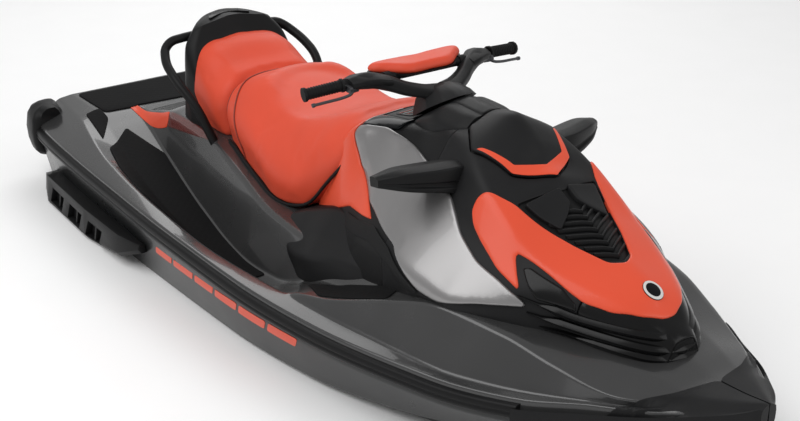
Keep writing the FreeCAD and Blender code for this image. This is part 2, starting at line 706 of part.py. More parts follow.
rake = math.radians(size("column_rake"))
STEER_AXIS = Vector(-math.sin(rake), 0, math.cos(rake))
steer_top = at(size("column_station"), 0, size("column_top"))
column_foot = steer_top - STEER_AXIS * (size("column_length") + size("steer_gap"))
panels_room = body(size("panel_wall") + SEAM)
column = Part.makeCylinder(size("column_radius"), size("column_length"), column_foot, STEER_AXIS)
keep("steering_column", big(column.cut(panels_room), 5000))

GRIP_END = (size("grip_station"), size("grip_half_span"), size("grip_height"))
GRIP_ROOT = (GRIP_END[0] + 24, GRIP_END[1] - size("grip_length"), GRIP_END[2] + 13)
BAR_ROOT = (GRIP_ROOT[0] + 10, GRIP_ROOT[1] - 42, GRIP_ROOT[2] + 5)


def arm_ring(x, y, h, half_width, half_height):
    corners = [(-half_width, -half_height * 0.6), (0, -half_height),
               (half_width, -half_height * 0.6), (half_width, half_height * 0.5),
               (0, half_height), (-half_width, half_height * 0.5)]
    return [Vector(fore(x) + a, -y, up(h) + b) for a, b in corners]


ARM = [(352, 8, 1004, 34, 22), (345, 45, 1006, 36, 22), (318, 100, 1016, 32, 24),
       (282, 150, 1034, 34, 26), (252, 200, 1044, 38, 26), (240, 246, 1040, 26, 20)]
arm = through([arm_ring(*row) for row in ARM])
hub = Part.makeCylinder(size("column_radius"), size("hub_height"), steer_top, STEER_AXIS)
grip_bar = rod((BAR_ROOT[0], -BAR_ROOT[1], BAR_ROOT[2]),
               (GRIP_END[0] + 2, -GRIP_END[1] + 8, GRIP_END[2] + 1), size("bar_radius"))
cross = rod((262, -180, 1046), (262, 180, 1046), size("bar_radius"))
handlebar = hub.fuse([arm, port(arm), grip_bar, port(grip_bar), cross])
handlebar = largest(handlebar)
keep("handlebar", handlebar)

grip_a = at(GRIP_ROOT[0], -GRIP_ROOT[1], GRIP_ROOT[2])
grip_b = at(GRIP_END[0], -GRIP_END[1], GRIP_END[2])
along_grip = (grip_b - grip_a).normalize()
grip = Part.makeCylinder(size("grip_radius"), size("grip_length"), grip_a, along_grip)
end_flange = Part.makeCylinder(size("grip_radius") + 5, 8,
                               grip_a + along_grip * (size("grip_length") - 8), along_grip)
grip = grip.fuse(end_flange).cut(handlebar)
keep("grips", both(largest(grip)))
lever = bar([(244, -250, 1036), (268, -262, 1018), (262, -300, 1012), (246, -385, 1002)],
            size("lever_radius"), 6)
keep("levers", both(largest(lever.cut(handlebar).cut(grip))))

PAD = [(196, 0), (192, -160), (206, -174), (232, -164), (296, -92), (306, -70), (306, 0)]
pad = levels([(1050, mirrored(PAD)), (1066, mirrored(PAD)),
              (1078, mirrored([(206, 0), (203, -152), (213, -162), (232, -152), (286, -88),
                               (294, -66), (294, 0)]))])
keep("handlebar_pad", largest(pad.cut(handlebar)))


# Cowl between the handlebar and the lid, round the column

COWL = [(330, [(0, 880), (98, 880), (98, 912), (64, 926), (0, 930)]),
        (392, [(0, 880), (114, 880), (104, 944), (62, 966), (0, 968)]),
        (470, [(0, 890), (124, 890), (110, 966), (68, 1000), (0, 1008)]),
        (545, [(0, 910), (120, 910), (104, 968), (70, 998), (0, 1006)]),
        (590, [(0, 930), (96, 930), (90, 974), (60, 996), (0, 1001)])]
cowl = through([ring(x, half) for x, half in COWL], 4)
column_room = Part.makeCylinder(size("column_radius") + SEAM, size("column_length") + 40,
                                column_foot, STEER_AXIS)
hub_room = Part.makeCylinder(size("column_radius") + 6, size("hub_height") + 10,
                             steer_top - STEER_AXIS * 5, STEER_AXIS)
cowl = cowl.cut(panels_room).cut(column_room).cut(hub_room)
cowl = cowl.cut(plan_prism(widened(LID, size("lid_gap")), LOW, HIGH)).cut(glove_cut)
keep("gauge_housing", big(cowl, 20000))


# Mirrors: wedge housings on the shoulders, their glass facing aft

MIRROR = [(150, [(600, 815), (596, 890), (684, 902), (692, 826)]),
          (215, [(590, 826), (584, 902), (686, 912), (694, 840)]),
          (330, [(568, 838), (560, 902), (648, 908), (654, 856)]),
          (405, [(560, 862), (556, 890), (596, 890), (598, 868)])]
mirror = through([[Vector(fore(x), -y, up(h)) for x, h in rows] for y, rows in MIRROR])
keep("mirror_housings", both(largest(mirror.cut(panels_room))))


# Grab handle: a bent bar round the passenger seat, and the black shell behind the seat

HANDLE = [(-640, -228, 560), (-715, -262, 700), (-800, -290, 775), (-885, -284, 815),
          (-945, -256, 850), (-958, -222, 872), (-952, -150, 880), (-952, 150, 880),
          (-958, 222, 872), (-945, 256, 850), (-885, 284, 815), (-800, 290, 775),
          (-715, 262, 700), (-640, 228, 560)]
SHELL = [(590, [(-760, 0), (-760, -206), (-850, -214), (-950, -192), (-1015, -112), (-1036, 0)]),
         (760, [(-800, 0), (-800, -206), (-870, -218), (-940, -182), (-990, -106), (-1010, 0)]),
         (890, [(-850, 0), (-850, -188), (-890, -206), (-934, -166), (-978, -98), (-998, 0)]),
         (950, [(-890, 0), (-888, -140), (-902, -160), (-930, -140), (-966, -88), (-985, 0)])]
ARM_SIDES = 8
handle = bar(HANDLE, size("handle_radius"), ARM_SIDES).cut(deck_shape)
seat_back = seat([(x - (SEAM if x < -900 else 0), bottom, (low[0] + SEAM, low[1]),
                   (mid[0] + SEAM, mid[1]), (top[0] + SEAM, top[1] + SEAM), crown + SEAM)
                  for x, bottom, low, mid, top, crown in REAR_SEAT])
shell = levels([(h, mirrored(outline)) for h, outline in SHELL]).cut(seat_back).cut(deck_shape)
shell = largest(shell)
keep("handle_pad", shell)
keep("grab_handle", big(handle.cut(shell).cut(seat_back), 30000))


# Jet pump, about its own axis: sketches are drawn from the pump's mouth, aft is negative

def mechanism(label, x):
    """A body whose X axis lies on the pump's axis, x being an expression of the sheet."""
    thing = doc.addObject("PartDesign::Body", label)
    thing.Label = label
    bind(thing, {"Placement.Base.x": x, "Placement.Base.z": "Sizes.pump_height - Sizes.draft"})
    parts[label] = thing
    return thing


def datum(thing, role):
    return next(f for f in thing.Origin.OriginFeatures if f.Role == role)


def sketched(thing, name, plane):
    sketch = thing.newObject("Sketcher::SketchObject", name)
    sketch.AttachmentSupport = [(datum(thing, plane), "")]
    sketch.MapMode = "FlatFace"
    return sketch


def outlined(thing, name, plane, corners):
    """Closed sketch whose corners are pairs of expressions of the sheet."""
    sketch = sketched(thing, name, plane)
    spots = [Vector(*[float(sheet.evalExpression(e)) for e in corner], 0) for corner in corners]
    for k, spot in enumerate(spots):
        sketch.addGeometry(Part.LineSegment(spot, spots[(k + 1) % len(spots)]))
    for k, spot in enumerate(spots):
        following = (k + 1) % len(spots)
        sketch.addConstraint(Sketcher.Constraint("Coincident", k, 2, following, 1))
        for kind, value, expression in (("DistanceX", spot.x, corners[k][0]),
                                        ("DistanceY", spot.y, corners[k][1])):
            number = sketch.addConstraint(Sketcher.Constraint(kind, -1, 1, k, 1, value))
            sketch.setExpression(f"Constraints[{number}]", expression)
    return sketch


def circled(thing, name, plane, x, radius):
    """Sketched circle on the plane's first axis; x and radius are expressions."""
    sketch = sketched(thing, name, plane)
    centre = Vector(float(sheet.evalExpression(x)), 0, 0)
    sketch.addGeometry(Part.Circle(centre, Vector(0, 0, 1),
                                   float(sheet.evalExpression(radius))))
    across = sketch.addConstraint(Sketcher.Constraint("DistanceX", -1, 1, 0, 3, centre.x))
    sketch.setExpression(f"Constraints[{across}]", x)
    sketch.addConstraint(Sketcher.Constraint("PointOnObject", 0, 3, -1))
    wide = sketch.addConstraint(Sketcher.Constraint(
        "Radius", 0, float(sheet.evalExpression(radius))))
    sketch.setExpression(f"Constraints[{wide}]", radius)
    return sketch


def turned(thing, name, sketch, kind="PartDesign::Revolution"):
    feature = thing.newObject(kind, name)
    feature.Profile = (sketch, [""])
    feature.ReferenceAxis = (sketch, ["H_Axis"])
    feature.Angle = 360
    return feature


def padded(thing, name, sketch, length):
    """Pad to both sides of its sketch."""
    feature = thing.newObject("PartDesign::Pad", name)
    feature.Profile = (sketch, [""])
    feature.SideType = "Symmetric"
    feature.setExpression("Length", length)
    return feature


MOUTH = ("(Sizes.transom * Sizes.hull_length / Sizes.drawn_length"
         " + Sizes.pump_front - Sizes.transom)")
BORE = "(Sizes.pump_radius + Sizes.blade_tip_gap)"
CASE = f"({BORE} + Sizes.pump_wall)"
FLANGE = f"({CASE} + Sizes.pump_flange)"

pump = mechanism("pump_housing", MOUTH)
case_sketch = outlined(pump, "CaseProfile", "XZ_Plane", [
    ("0", BORE), ("0", CASE), ("-12", CASE), ("-12", FLANGE), ("-24", FLANGE), ("-24", CASE),
    ("-Sizes.pump_length", CASE), ("-Sizes.pump_length", BORE)])
turned(pump, "Case", case_sketch)
vane_front = "-Sizes.stator_setback - 5"
vane_back = f"{vane_front} - Sizes.vane_length"
vane_sketch = outlined(pump, "VaneProfile", "XZ_Plane", [
    (vane_front, "Sizes.hub_radius - 3"), (vane_front, f"{BORE} + 3"),
    (vane_back, f"{BORE} + 3"), (vane_back, "Sizes.hub_radius - 3")])
vane = padded(pump, "Vane", vane_sketch, "Sizes.vane_thickness")
vanes = pump.newObject("PartDesign::PolarPattern", "Vanes")
vanes.Originals = [vane]
vanes.Axis = (datum(pump, "X_Axis"), [""])
vanes.Angle = 360
pump.Tip = vanes
vanes.setExpression("Occurrences", "Sizes.vane_count")
doc.recompute()
BEARING = "Sizes.shaft_radius + Sizes.shaft_clearance"
hub_back = "-Sizes.stator_setback - Sizes.hub_length"
hub_sketch = outlined(pump, "HubProfile", "XZ_Plane", [
    ("-Sizes.stator_setback", BEARING), ("-Sizes.stator_setback", "Sizes.hub_radius"),
    (hub_back, "Sizes.hub_radius"), (f"{hub_back} - Sizes.tail_length", "Sizes.tail_radius"),
    (f"{hub_back} - Sizes.tail_length", "0"),
    ("-Sizes.stator_setback - Sizes.bearing_length", "0"),
    ("-Sizes.stator_setback - Sizes.bearing_length", BEARING)])
turned(pump, "Hub", hub_sketch)

axis_up = up(size("pump_height"))
pump_x = PUMP_X
AFT = Vector(-1, 0, 0)


def shaft_line(x):
    return Vector(x, 0, axis_up)


def around(shape, count):
    """Copies of the shape spaced evenly about the pump axis."""
    copies = []
    for k in range(int(count)):
        copy = shape.copy()
        copy.rotate(shaft_line(0), Vector(1, 0, 0), 360.0 * k / int(count))
        copies.append(copy)
    return copies


def blade():
    """One twisted blade: rectangles turned step by step along the axis."""
    steps = 6
    low, high = size("hub_radius") - 4, size("pump_radius") + 6
    half = size("blade_thickness") / 2
    rings = []
    for k in range(steps + 1):
        turn = Rotation(Vector(1, 0, 0), size("blade_sweep") * k / steps)
        x = pump_x - size("blade_setback") - size("blade_length") * k / steps
        corners = [Vector(0, -half, low), Vector(0, half, low), Vector(0, half, high),
                   Vector(0, -half, high)]
        rings.append([turn.multVec(c) + shaft_line(x) for c in corners])
    return through(rings)


impeller_hub = Part.makeCylinder(size("hub_radius"), 96, shaft_line(pump_x - 52), AFT)
nose_cone = Part.makeCone(16, size("hub_radius"), 40, shaft_line(pump_x - 12), AFT)
trim_ring = Part.makeCylinder(size("pump_radius"), 100, shaft_line(pump_x - 52), AFT)
blades = [b.common(trim_ring) for b in around(blade(), size("blade_count"))]
impeller = impeller_hub.fuse([nose_cone] + blades)
impeller = impeller.cut(Part.makeCylinder(size("shaft_radius"), 200, shaft_line(pump_x), AFT))
keep("impeller", largest(impeller))
shaft = doc.addObject("Part::Cylinder", "drive_shaft")
shaft.Label = "drive_shaft"
shaft.Placement = FreeCAD.Placement(shaft_line(0), Rotation(Vector(0, 0, 1), AFT))
STRETCHED = "Sizes.hull_length / Sizes.drawn_length"
bind(shaft, {"Radius": "Sizes.shaft_radius",
             "Height": f"Sizes.engine_from_aft * {STRETCHED} - {MOUTH}"
                       " - Sizes.seam + Sizes.stator_setback + 24",
             "Placement.Base.x": f"Sizes.engine_from_aft * {STRETCHED} - Sizes.seam",
             "Placement.Base.z": "Sizes.pump_height - Sizes.draft"})
parts["drive_shaft"] = shaft

# The venturi, drawn from the steering pivot, carries the nozzle's two ears and pins

PIVOT = (f"{MOUTH} - Sizes.pump_length - Sizes.seam - Sizes.venturi_cone"
         " - Sizes.venturi_tail - Sizes.pivot_setback")
SPOUT = "Sizes.pivot_setback"
THROAT = f"{SPOUT} + Sizes.venturi_tail"
FACE = f"{THROAT} + Sizes.venturi_cone"
EXIT_OUT = "Sizes.venturi_exit + Sizes.nozzle_wall"
NOZZLE_IN = "(Sizes.venturi_exit + Sizes.nozzle_wall + Sizes.nozzle_gap)"
EAR = f"({NOZZLE_IN} + Sizes.nozzle_wall + Sizes.ear_gap)"
venturi = mechanism("venturi", PIVOT)
cone_sketch = outlined(venturi, "ConeProfile", "XZ_Plane", [
    (FACE, BORE), (FACE, f"{BORE} + Sizes.nozzle_wall"), (THROAT, EXIT_OUT),
    (SPOUT, EXIT_OUT), (SPOUT, "Sizes.venturi_exit"), (THROAT, "Sizes.venturi_exit")])
turned(venturi, "Cone", cone_sketch)
ear_sketch = outlined(venturi, "EarProfile", "XZ_Plane", [
    ("30", "Sizes.venturi_exit + 2"), ("44", "Sizes.venturi_exit + 2"),
    ("44", f"{EAR} + Sizes.ear_thickness"), ("-16", f"{EAR} + Sizes.ear_thickness"),
    ("-16", EAR), ("30", EAR)])
ear = padded(venturi, "Ear", ear_sketch, "Sizes.ear_width")
pin_sketch = outlined(venturi, "PinProfile", "XZ_Plane", [
    ("0", f"{NOZZLE_IN} - 2"), ("Sizes.pivot_radius", f"{NOZZLE_IN} - 2"),
    ("Sizes.pivot_radius", f"{EAR} + 2"), ("0", f"{EAR} + 2")])
pin = venturi.newObject("PartDesign::Revolution", "Pin")
pin.Profile = (pin_sketch, [""])
pin.ReferenceAxis = (pin_sketch, ["V_Axis"])
pin.Angle = 360
lower = venturi.newObject("PartDesign::Mirrored", "LowerEar")
lower.Originals = [ear, pin]
lower.MirrorPlane = (datum(venturi, "XY_Plane"), [""])
venturi.Tip = lower

# Steering nozzle, also drawn from its pivot

NOZZLE_FRONT = "Sizes.nozzle_overlap"
NOZZLE_BACK = "Sizes.nozzle_overlap - Sizes.nozzle_length"
nozzle = mechanism("steering_nozzle", PIVOT)
wall_sketch = outlined(nozzle, "WallProfile", "XZ_Plane", [
    (NOZZLE_FRONT, NOZZLE_IN), (NOZZLE_FRONT, f"{NOZZLE_IN} + Sizes.nozzle_wall"),
    (NOZZLE_BACK, "Sizes.nozzle_exit + Sizes.nozzle_wall"), (NOZZLE_BACK, "Sizes.nozzle_exit")])
turned(nozzle, "Wall", wall_sketch)
boss_sketch = circled(nozzle, "BossProfile", "XZ_Plane", "-Sizes.bucket_pivot",
                      "Sizes.boss_radius")
padded(nozzle, "Boss", boss_sketch, "2 * Sizes.boss_reach")
stub_sketch = circled(nozzle, "StubProfile", "XZ_Plane", "-Sizes.bucket_pivot",
                      "Sizes.pivot_radius")
padded(nozzle, "Stub", stub_sketch, "2 * (Sizes.cheek_reach + Sizes.bucket_wall + 4)")
jet_sketch = outlined(nozzle, "JetProfile", "XZ_Plane", [
    (f"{NOZZLE_FRONT}", "0"), (f"{NOZZLE_FRONT}", NOZZLE_IN), (NOZZLE_BACK, "Sizes.nozzle_exit"),
    (NOZZLE_BACK, "0")])
turned(nozzle, "Jet", jet_sketch, "PartDesign::Groove")
hole_sketch = circled(nozzle, "PivotHole", "XY_Plane", "0", "Sizes.pivot_radius + Sizes.pin_fit")
hole = nozzle.newObject("PartDesign::Pocket", "PivotBore")
hole.Profile = (hole_sketch, [""])
hole.Type = "ThroughAll"
hole.SideType = "Symmetric"


# Reverse bucket: two cheeks and a curved gate, parked above the jet

GATE_FROM, GATE_TO = 38, 112
boss_x = (pump_x - size("pump_length") - SEAM - size("venturi_cone") - size("venturi_tail")
          - size("pivot_setback") - size("bucket_pivot"))


def sector(inner, outer, y0, y1):
    """Part of a ring about the bucket's pivot, angles measured up from dead aft."""
    steps = 8
    rim = []
    for radius, order in ((outer, range(steps + 1)), (inner, range(steps, -1, -1))):
        for k in order:
            a = math.radians(GATE_FROM + (GATE_TO - GATE_FROM) * k / steps)
            rim.append(Vector(boss_x - radius * math.cos(a), y0, axis_up + radius * math.sin(a)))
    return Part.Face(Part.makePolygon(rim + rim[:1])).extrude(Vector(0, y1 - y0, 0))


cheek_y = size("cheek_reach")
wall = size("bucket_wall")
rim_radius = size("bucket_inner") + wall
pivot = Vector(boss_x, cheek_y, axis_up)
across = Vector(0, 1, 0)
cheek = sector(8, rim_radius, cheek_y, cheek_y + wall)
cheek = cheek.fuse(Part.makeCylinder(size("boss_radius") + 2, wall, pivot, across))
cheek = cheek.cut(Part.makeCylinder(size("pivot_radius") + FIT, wall, pivot, across))
gate = sector(size("bucket_inner"), rim_radius, -cheek_y - wall, cheek_y + wall)
keep("reverse_bucket", largest(gate.fuse([cheek, port(cheek)])))


# Grate over the intake

duct_half = size("duct_width") / 2 - SEAM
grate_half = size("grate_bar") / 2
ties = [block(-925, -913, -duct_half, duct_half, 14, 30),
        block(-660, -650, -duct_half, duct_half, 16, 26)]
rods = []
for k in range(int(size("grate_count"))):
    y = -duct_half + 2 * duct_half * (k + 1) / (size("grate_count") + 1)
    rods.append(block(-925, -560, y - grate_half, y + grate_half, 14, 26))
keep("intake_grate", big(ties[0].fuse(ties[1:] + rods).cut(hull_shape), 10000))


# Sponsons on the hull's sides, each with a row of ribbed pockets

def sponson_corners(x, depth, low, high):
    y = along(RAIL, x)[0] - size("rail_depth")
    return [(y - 70, low), (y + depth - 12, low), (y + depth, low + 16),
            (y + depth - 6, high), (y - 70, high)]


aft = size("sponson_aft")
depth = size("sponson_depth")
SPONSON = [(0, 0.5, 222, 300), (90, 1.0, 206, 326), (480, 1.0, 214, 330),
           (760, 0.8, 250, 332), (size("sponson_length"), 0.2, 300, 332)]
sponson = starboard([(aft + x, sponson_corners(aft + x, depth * share, low, high))
                     for x, share, low, high in SPONSON])
for k in range(int(size("sponson_pockets"))):
    x = aft + 120 + 180 * k
    face = along(RAIL, x)[0] - size("rail_depth") + depth
    inner = face - size("pocket_depth")
    pocket = side_prism([(x, 232), (x + 120, 232), (x + 150, 296), (x + 30, 296)], inner, 700)
    stub = side_prism([(x + 62, 232), (x + 72, 232), (x + 94, 296), (x + 84, 296)],
                      inner, face - 8)
    sponson = sponson.cut(pocket.cut(stub))
keep("sponsons", both(largest(sponson.cut(hull_shape))))


# Towing eyes at bow and stern: bent bars of eight sides

def eye(x, y, height):
    turns = [math.radians(45 * k + 22.5) for k in range(8)]
    radius = size("eye_radius")
    bar_half = size("eye_bar")
    plate = [at(x, y - bar_half, height) + Vector(radius * math.cos(t), 0, radius * math.sin(t))
             for t in turns]
    hollow = [at(x, y - bar_half, height)
              + Vector((radius - 2 * bar_half) * math.cos(t), 0,
                       (radius - 2 * bar_half) * math.sin(t)) for t in turns]
    along_y = Vector(0, 2 * bar_half, 0)
    rim = Part.Face(Part.makePolygon(plate + plate[:1])).extrude(along_y)
    return rim.cut(Part.Face(Part.makePolygon(hollow + hollow[:1])).extrude(along_y))


bow_eye = eye(size("bow_eye_station"), 0, size("bow_eye_height"))
keep("bow_eye", largest(bow_eye.cut(hull_shape)))
stern_eye = eye(size("transom"), -size("stern_eye_span"), size("stern_eye_height"))
keep("stern_eyes", both(largest(stern_eye.cut(hull_shape))))


# Badge disc on the hood's nose, blank

station = size("badge_station")
badge_seat = at(station, 0, along(BODY_TOP, station)[1] + size("panel_wall"))
facing = Vector(0.5, 0, 1).normalize()
badge = Part.makeCylinder(size("badge_radius"), size("badge_thickness") + 12,
                          badge_seat - facing * 10, facing)
badge = badge.cut(hood).cut(core)
keep("badge", max(badge.Solids, key=lambda s: s.BoundBox.ZMax))


# Every piece must be sound before any file is written

doc.recompute()
for thing in doc.Objects:
    if "Invalid" in thing.State or "Error" in thing.State:
        raise RuntimeError(f"{thing.Name} did not compute: {thing.State}")
for label, feature in parts.items():
    if feature.Shape.isNull() or not feature.Shape.isValid() or not feature.Shape.Solids:
        raise RuntimeError(f"{label} has no sound solid")
os.makedirs("parts", exist_ok=True)
for label, feature in parts.items():
    feature.Shape.exportStep(f"parts/{label}.step")
    print(label, len(feature.Shape.Solids), "solids,",
          round(sum(s.Volume for s in feature.Shape.Solids) / 1e6, 3), "litres")
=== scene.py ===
"""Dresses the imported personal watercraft: gel-coated shells, vinyl seats, moulded trim."""

import json
import math

import bmesh
import bpy
import numpy as np
from bpy.props import FloatProperty, FloatVectorProperty, IntProperty, PointerProperty
from bpy.types import Operator, Panel, PropertyGroup
from mathutils import Matrix, Vector
from mathutils.bvhtree import BVHTree
from mathutils.geometry import delaunay_2d_cdt

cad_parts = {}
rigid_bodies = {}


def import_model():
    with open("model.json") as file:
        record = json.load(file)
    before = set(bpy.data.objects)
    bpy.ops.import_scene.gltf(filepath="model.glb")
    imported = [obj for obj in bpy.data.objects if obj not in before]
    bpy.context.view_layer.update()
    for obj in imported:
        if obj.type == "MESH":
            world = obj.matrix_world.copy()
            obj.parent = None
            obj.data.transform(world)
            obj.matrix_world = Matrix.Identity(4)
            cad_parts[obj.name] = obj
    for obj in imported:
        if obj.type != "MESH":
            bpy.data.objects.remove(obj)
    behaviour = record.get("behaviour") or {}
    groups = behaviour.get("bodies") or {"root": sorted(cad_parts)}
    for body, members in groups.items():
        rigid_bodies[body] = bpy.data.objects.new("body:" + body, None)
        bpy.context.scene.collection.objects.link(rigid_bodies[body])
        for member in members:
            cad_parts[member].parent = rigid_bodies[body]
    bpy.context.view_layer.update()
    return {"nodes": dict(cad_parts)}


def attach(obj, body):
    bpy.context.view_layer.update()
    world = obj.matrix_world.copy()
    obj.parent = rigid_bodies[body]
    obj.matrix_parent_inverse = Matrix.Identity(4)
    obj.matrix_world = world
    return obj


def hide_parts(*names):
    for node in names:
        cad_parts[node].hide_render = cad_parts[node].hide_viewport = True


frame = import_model()

bl_info = {
    "name": "Personal watercraft",
    "version": (1, 0, 0),
    "blender": (4, 5, 0),
    "location": "3D View > Sidebar > Watercraft",
    "description": "Builds the watercraft's shells, seats and trim round its frame",
    "category": "Add Mesh",
}

# Form lines in millimetres: x from mid-length to the bow, y outwards, height above the keel
DRAFT = 215
RAIL_DEPTH = 18
RIM_SHARES = (0.12, 0.4, 1.0)       # lines across a panel's rounded rim
CLOTH_FRAMES = 20
COVER_PASSES = 14                   # smoothing of a stuffed cover
TUNNEL_HALF, TUNNEL_AXIS = 118, 150
DUCT_HALF = 75
BADGE_X = 1250

RAIL = [(-1620, 505, 420), (-1500, 556, 425), (-1200, 590, 430), (-800, 612, 430),
        (-300, 627.5, 428), (100, 620, 418), (500, 578, 410), (900, 485, 412),
        (1160, 400, 438), (1310, 305, 462), (1450, 215, 488), (1540, 140, 508),
        (1610, 75, 526), (1650, 22, 540)]
GUNWALE = [(-1620, 400, 505), (-1370, 430, 502), (-930, 510, 482), (-480, 548, 468),
           (-190, 552, 456), (90, 534, 450), (520, 492, 450), (760, 452, 450),
           (910, 425, 452), (1030, 388, 460), (1140, 345, 470), (1300, 262, 490),
           (1420, 193, 508), (1530, 112, 528), (1610, 50, 545), (1650, 12, 556)]
FLOOR_OUT = [(-1620, 345, 512), (-1400, 345, 512), (-1250, 360, 488), (-1000, 400, 430),
             (-600, 442, 365), (-200, 458, 330), (0, 470, 348), (200, 494, 420),
             (320, 500, 464), (430, 488, 487), (650, 418, 550), (850, 372, 597),
             (1050, 330, 588), (1200, 292, 556), (1370, 230, 524), (1480, 140, 530),
             (1570, 70, 543), (1650, 8, 558)]
FLOOR_IN = [(-1620, 200, 512), (-1400, 200, 512), (-1250, 215, 490), (-1000, 250, 432),
            (-600, 320, 367), (-200, 375, 332), (0, 386, 350), (200, 396, 422),
            (320, 400, 468), (430, 398, 492), (650, 392, 556), (850, 355, 604),
            (1050, 312, 594), (1200, 275, 562), (1370, 215, 529), (1480, 130, 534),
            (1570, 62, 547), (1650, 6, 559)]
PEDESTAL = [(-1620, 190, 512), (-1300, 190, 512), (-1150, 192, 545), (-1000, 205, 580),
            (-700, 235, 590), (-400, 285, 560), (-100, 335, 530), (150, 350, 530),
            (430, 340, 545), (850, 300, 600), (1050, 240, 592), (1220, 170, 572),
            (1390, 118, 556), (1480, 90, 543), (1570, 45, 550), (1650, 4, 560)]
SADDLE = [(-1620, 0, 512), (-1300, 0, 512), (-1150, 0, 560), (-1000, 0, 612),
          (-700, 0, 622), (-400, 0, 600), (-100, 0, 580), (150, 0, 560), (430, 0, 560),
          (850, 0, 600), (1050, 0, 600), (1220, 0, 584), (1390, 0, 568), (1480, 0, 551),
          (1570, 0, 553), (1650, 0, 561)]
KEEL = [(-1490, 0, 0), (500, 0, 0), (900, 0, 18), (1200, 0, 80), (1400, 0, 170),
        (1520, 0, 272), (1600, 0, 380), (1650, 0, 500)]
STRAKE = [(-1490, 270, 100), (400, 262, 100), (700, 235, 108), (900, 205, 130),
          (1200, 135, 190), (1400, 82, 265), (1520, 52, 345), (1600, 30, 430),
          (1650, 10, 515)]
CHINE = [(-1490, 498, 205), (-600, 560, 212), (0, 555, 216), (400, 520, 226),
         (700, 455, 248), (900, 395, 275), (1200, 272, 335), (1400, 165, 398),
         (1520, 98, 446), (1600, 52, 488), (1650, 15, 528)]
BODY_FOOT = [(10, 228, 480), (60, 240, 480), (200, 300, 470), (430, 360, 470), (850, 345, 560),
             (1050, 262, 550), (1130, 190, 534), (1220, 146, 525), (1300, 110, 518),
             (1350, 72, 514), (1380, 50, 512)]
BODY_SIDE = [(10, 216, 570), (60, 228, 590), (200, 268, 600), (300, 306, 622), (400, 338, 650),
             (520, 358, 668), (700, 382, 645), (850, 368, 622), (950, 315, 628),
             (1040, 246, 628), (1130, 182, 606), (1220, 142, 594), (1300, 104, 584),
             (1350, 66, 574), (1380, 44, 566)]
BODY_EDGE = [(10, 176, 690), (60, 190, 740), (170, 196, 855), (290, 162, 882), (410, 160, 868),
             (520, 182, 853), (750, 232, 788), (910, 258, 710), (1000, 246, 682),
             (1130, 184, 664), (1220, 136, 650), (1300, 84, 632), (1350, 44, 616),
             (1380, 28, 604)]
BODY_RIDGE = [(10, 100, 720), (60, 115, 780), (170, 138, 876), (290, 118, 902), (420, 118, 915),
              (560, 126, 945), (680, 160, 925), (800, 184, 868), (900, 190, 803),
              (1000, 184, 743), (1130, 142, 706), (1250, 88, 674), (1320, 48, 642),
             (1350, 28, 624), (1380, 16, 608)]
BODY_TOP = [(10, 0, 730), (60, 0, 792), (170, 0, 884), (290, 0, 908), (420, 0, 930), (560, 0, 985),
            (670, 0, 1014), (760, 0, 960), (820, 0, 904), (870, 0, 889), (910, 0, 857),
            (1000, 0, 812), (1130, 0, 744), (1250, 0, 697), (1310, 0, 650),
            (1350, 0, 628), (1380, 0, 610)]


# Sizes and colours that a user would change

class WatercraftSizes(PropertyGroup):
    panel_rim: FloatProperty(name="Panel rim", description="Rounding of a panel's edge",
                             default=0.005, unit="LENGTH")
    panel_depth: FloatProperty(name="Panel depth", description="Depth of a panel's edge",
                               default=0.011, unit="LENGTH")
    welt_radius: FloatProperty(name="Welt radius", description="Radius of a seat welt",
                               default=0.0028, unit="LENGTH")
    seat_pressure: FloatProperty(name="Seat pressure", description="Stuffing of the seats",
                                 default=4.0, min=0.0)
    rib_count: IntProperty(name="Vent ribs", description="Chevron ribs in the vent",
                           default=8, min=1)


class WatercraftColours(PropertyGroup):
    coral: FloatVectorProperty(name="Coral", description="Hood, stripes and trim",
                               subtype="COLOR", default=(0.72, 0.080, 0.034))
    vinyl: FloatVectorProperty(name="Seat vinyl", description="Seat covers",
                               subtype="COLOR", default=(0.68, 0.074, 0.034))
    deck: FloatVectorProperty(name="Deck", description="Deck gel coat",
                              subtype="COLOR", default=(0.047, 0.047, 0.0475))
    hull: FloatVectorProperty(name="Hull", description="Hull gel coat",
                              subtype="COLOR", default=(0.008, 0.0085, 0.009))
    silver: FloatVectorProperty(name="Silver", description="Side wings",
                                subtype="COLOR", default=(0.25, 0.244, 0.244))
    black: FloatVectorProperty(name="Black", description="Moulded trim",
                               subtype="COLOR", default=(0.012, 0.012, 0.0125))
    oxide: FloatVectorProperty(name="Dark red", description="Stripe in the footwell",
                               subtype="COLOR", default=(0.10, 0.012, 0.009))


def sizes():
    return bpy.context.scene.watercraft_sizes


def colours():
    return bpy.context.scene.watercraft_colours


# Lines and sections

def along(line, x):
    """Monotone cubic through a form line's points."""
    xs = [p[0] for p in line]
    if x <= xs[0]:
        return tuple(line[0][1:])
    if x >= xs[-1]:
        return tuple(line[-1][1:])
    i = max(k for k in range(len(xs) - 1) if xs[k] <= x)
    span = xs[i + 1] - xs[i]
    t = (x - xs[i]) / span
    found = []
    for axis in range(1, len(line[0])):
        vs = [p[axis] for p in line]

        def slope(k):
            return (vs[k + 1] - vs[k]) / (xs[k + 1] - xs[k])

        def tangent(k):
            if k == 0:
                return slope(0)
            if k == len(xs) - 1:
                return slope(k - 1)
            before, after = slope(k - 1), slope(k)
            return 0.0 if before * after <= 0 else 2 * before * after / (before + after)

        found.append(vs[i] * (1 + 2 * t) * (1 - t) ** 2 + tangent(i) * span * t * (1 - t) ** 2
                     + vs[i + 1] * t * t * (3 - 2 * t)
                     - tangent(i + 1) * span * t * t * (1 - t))
    return tuple(found)


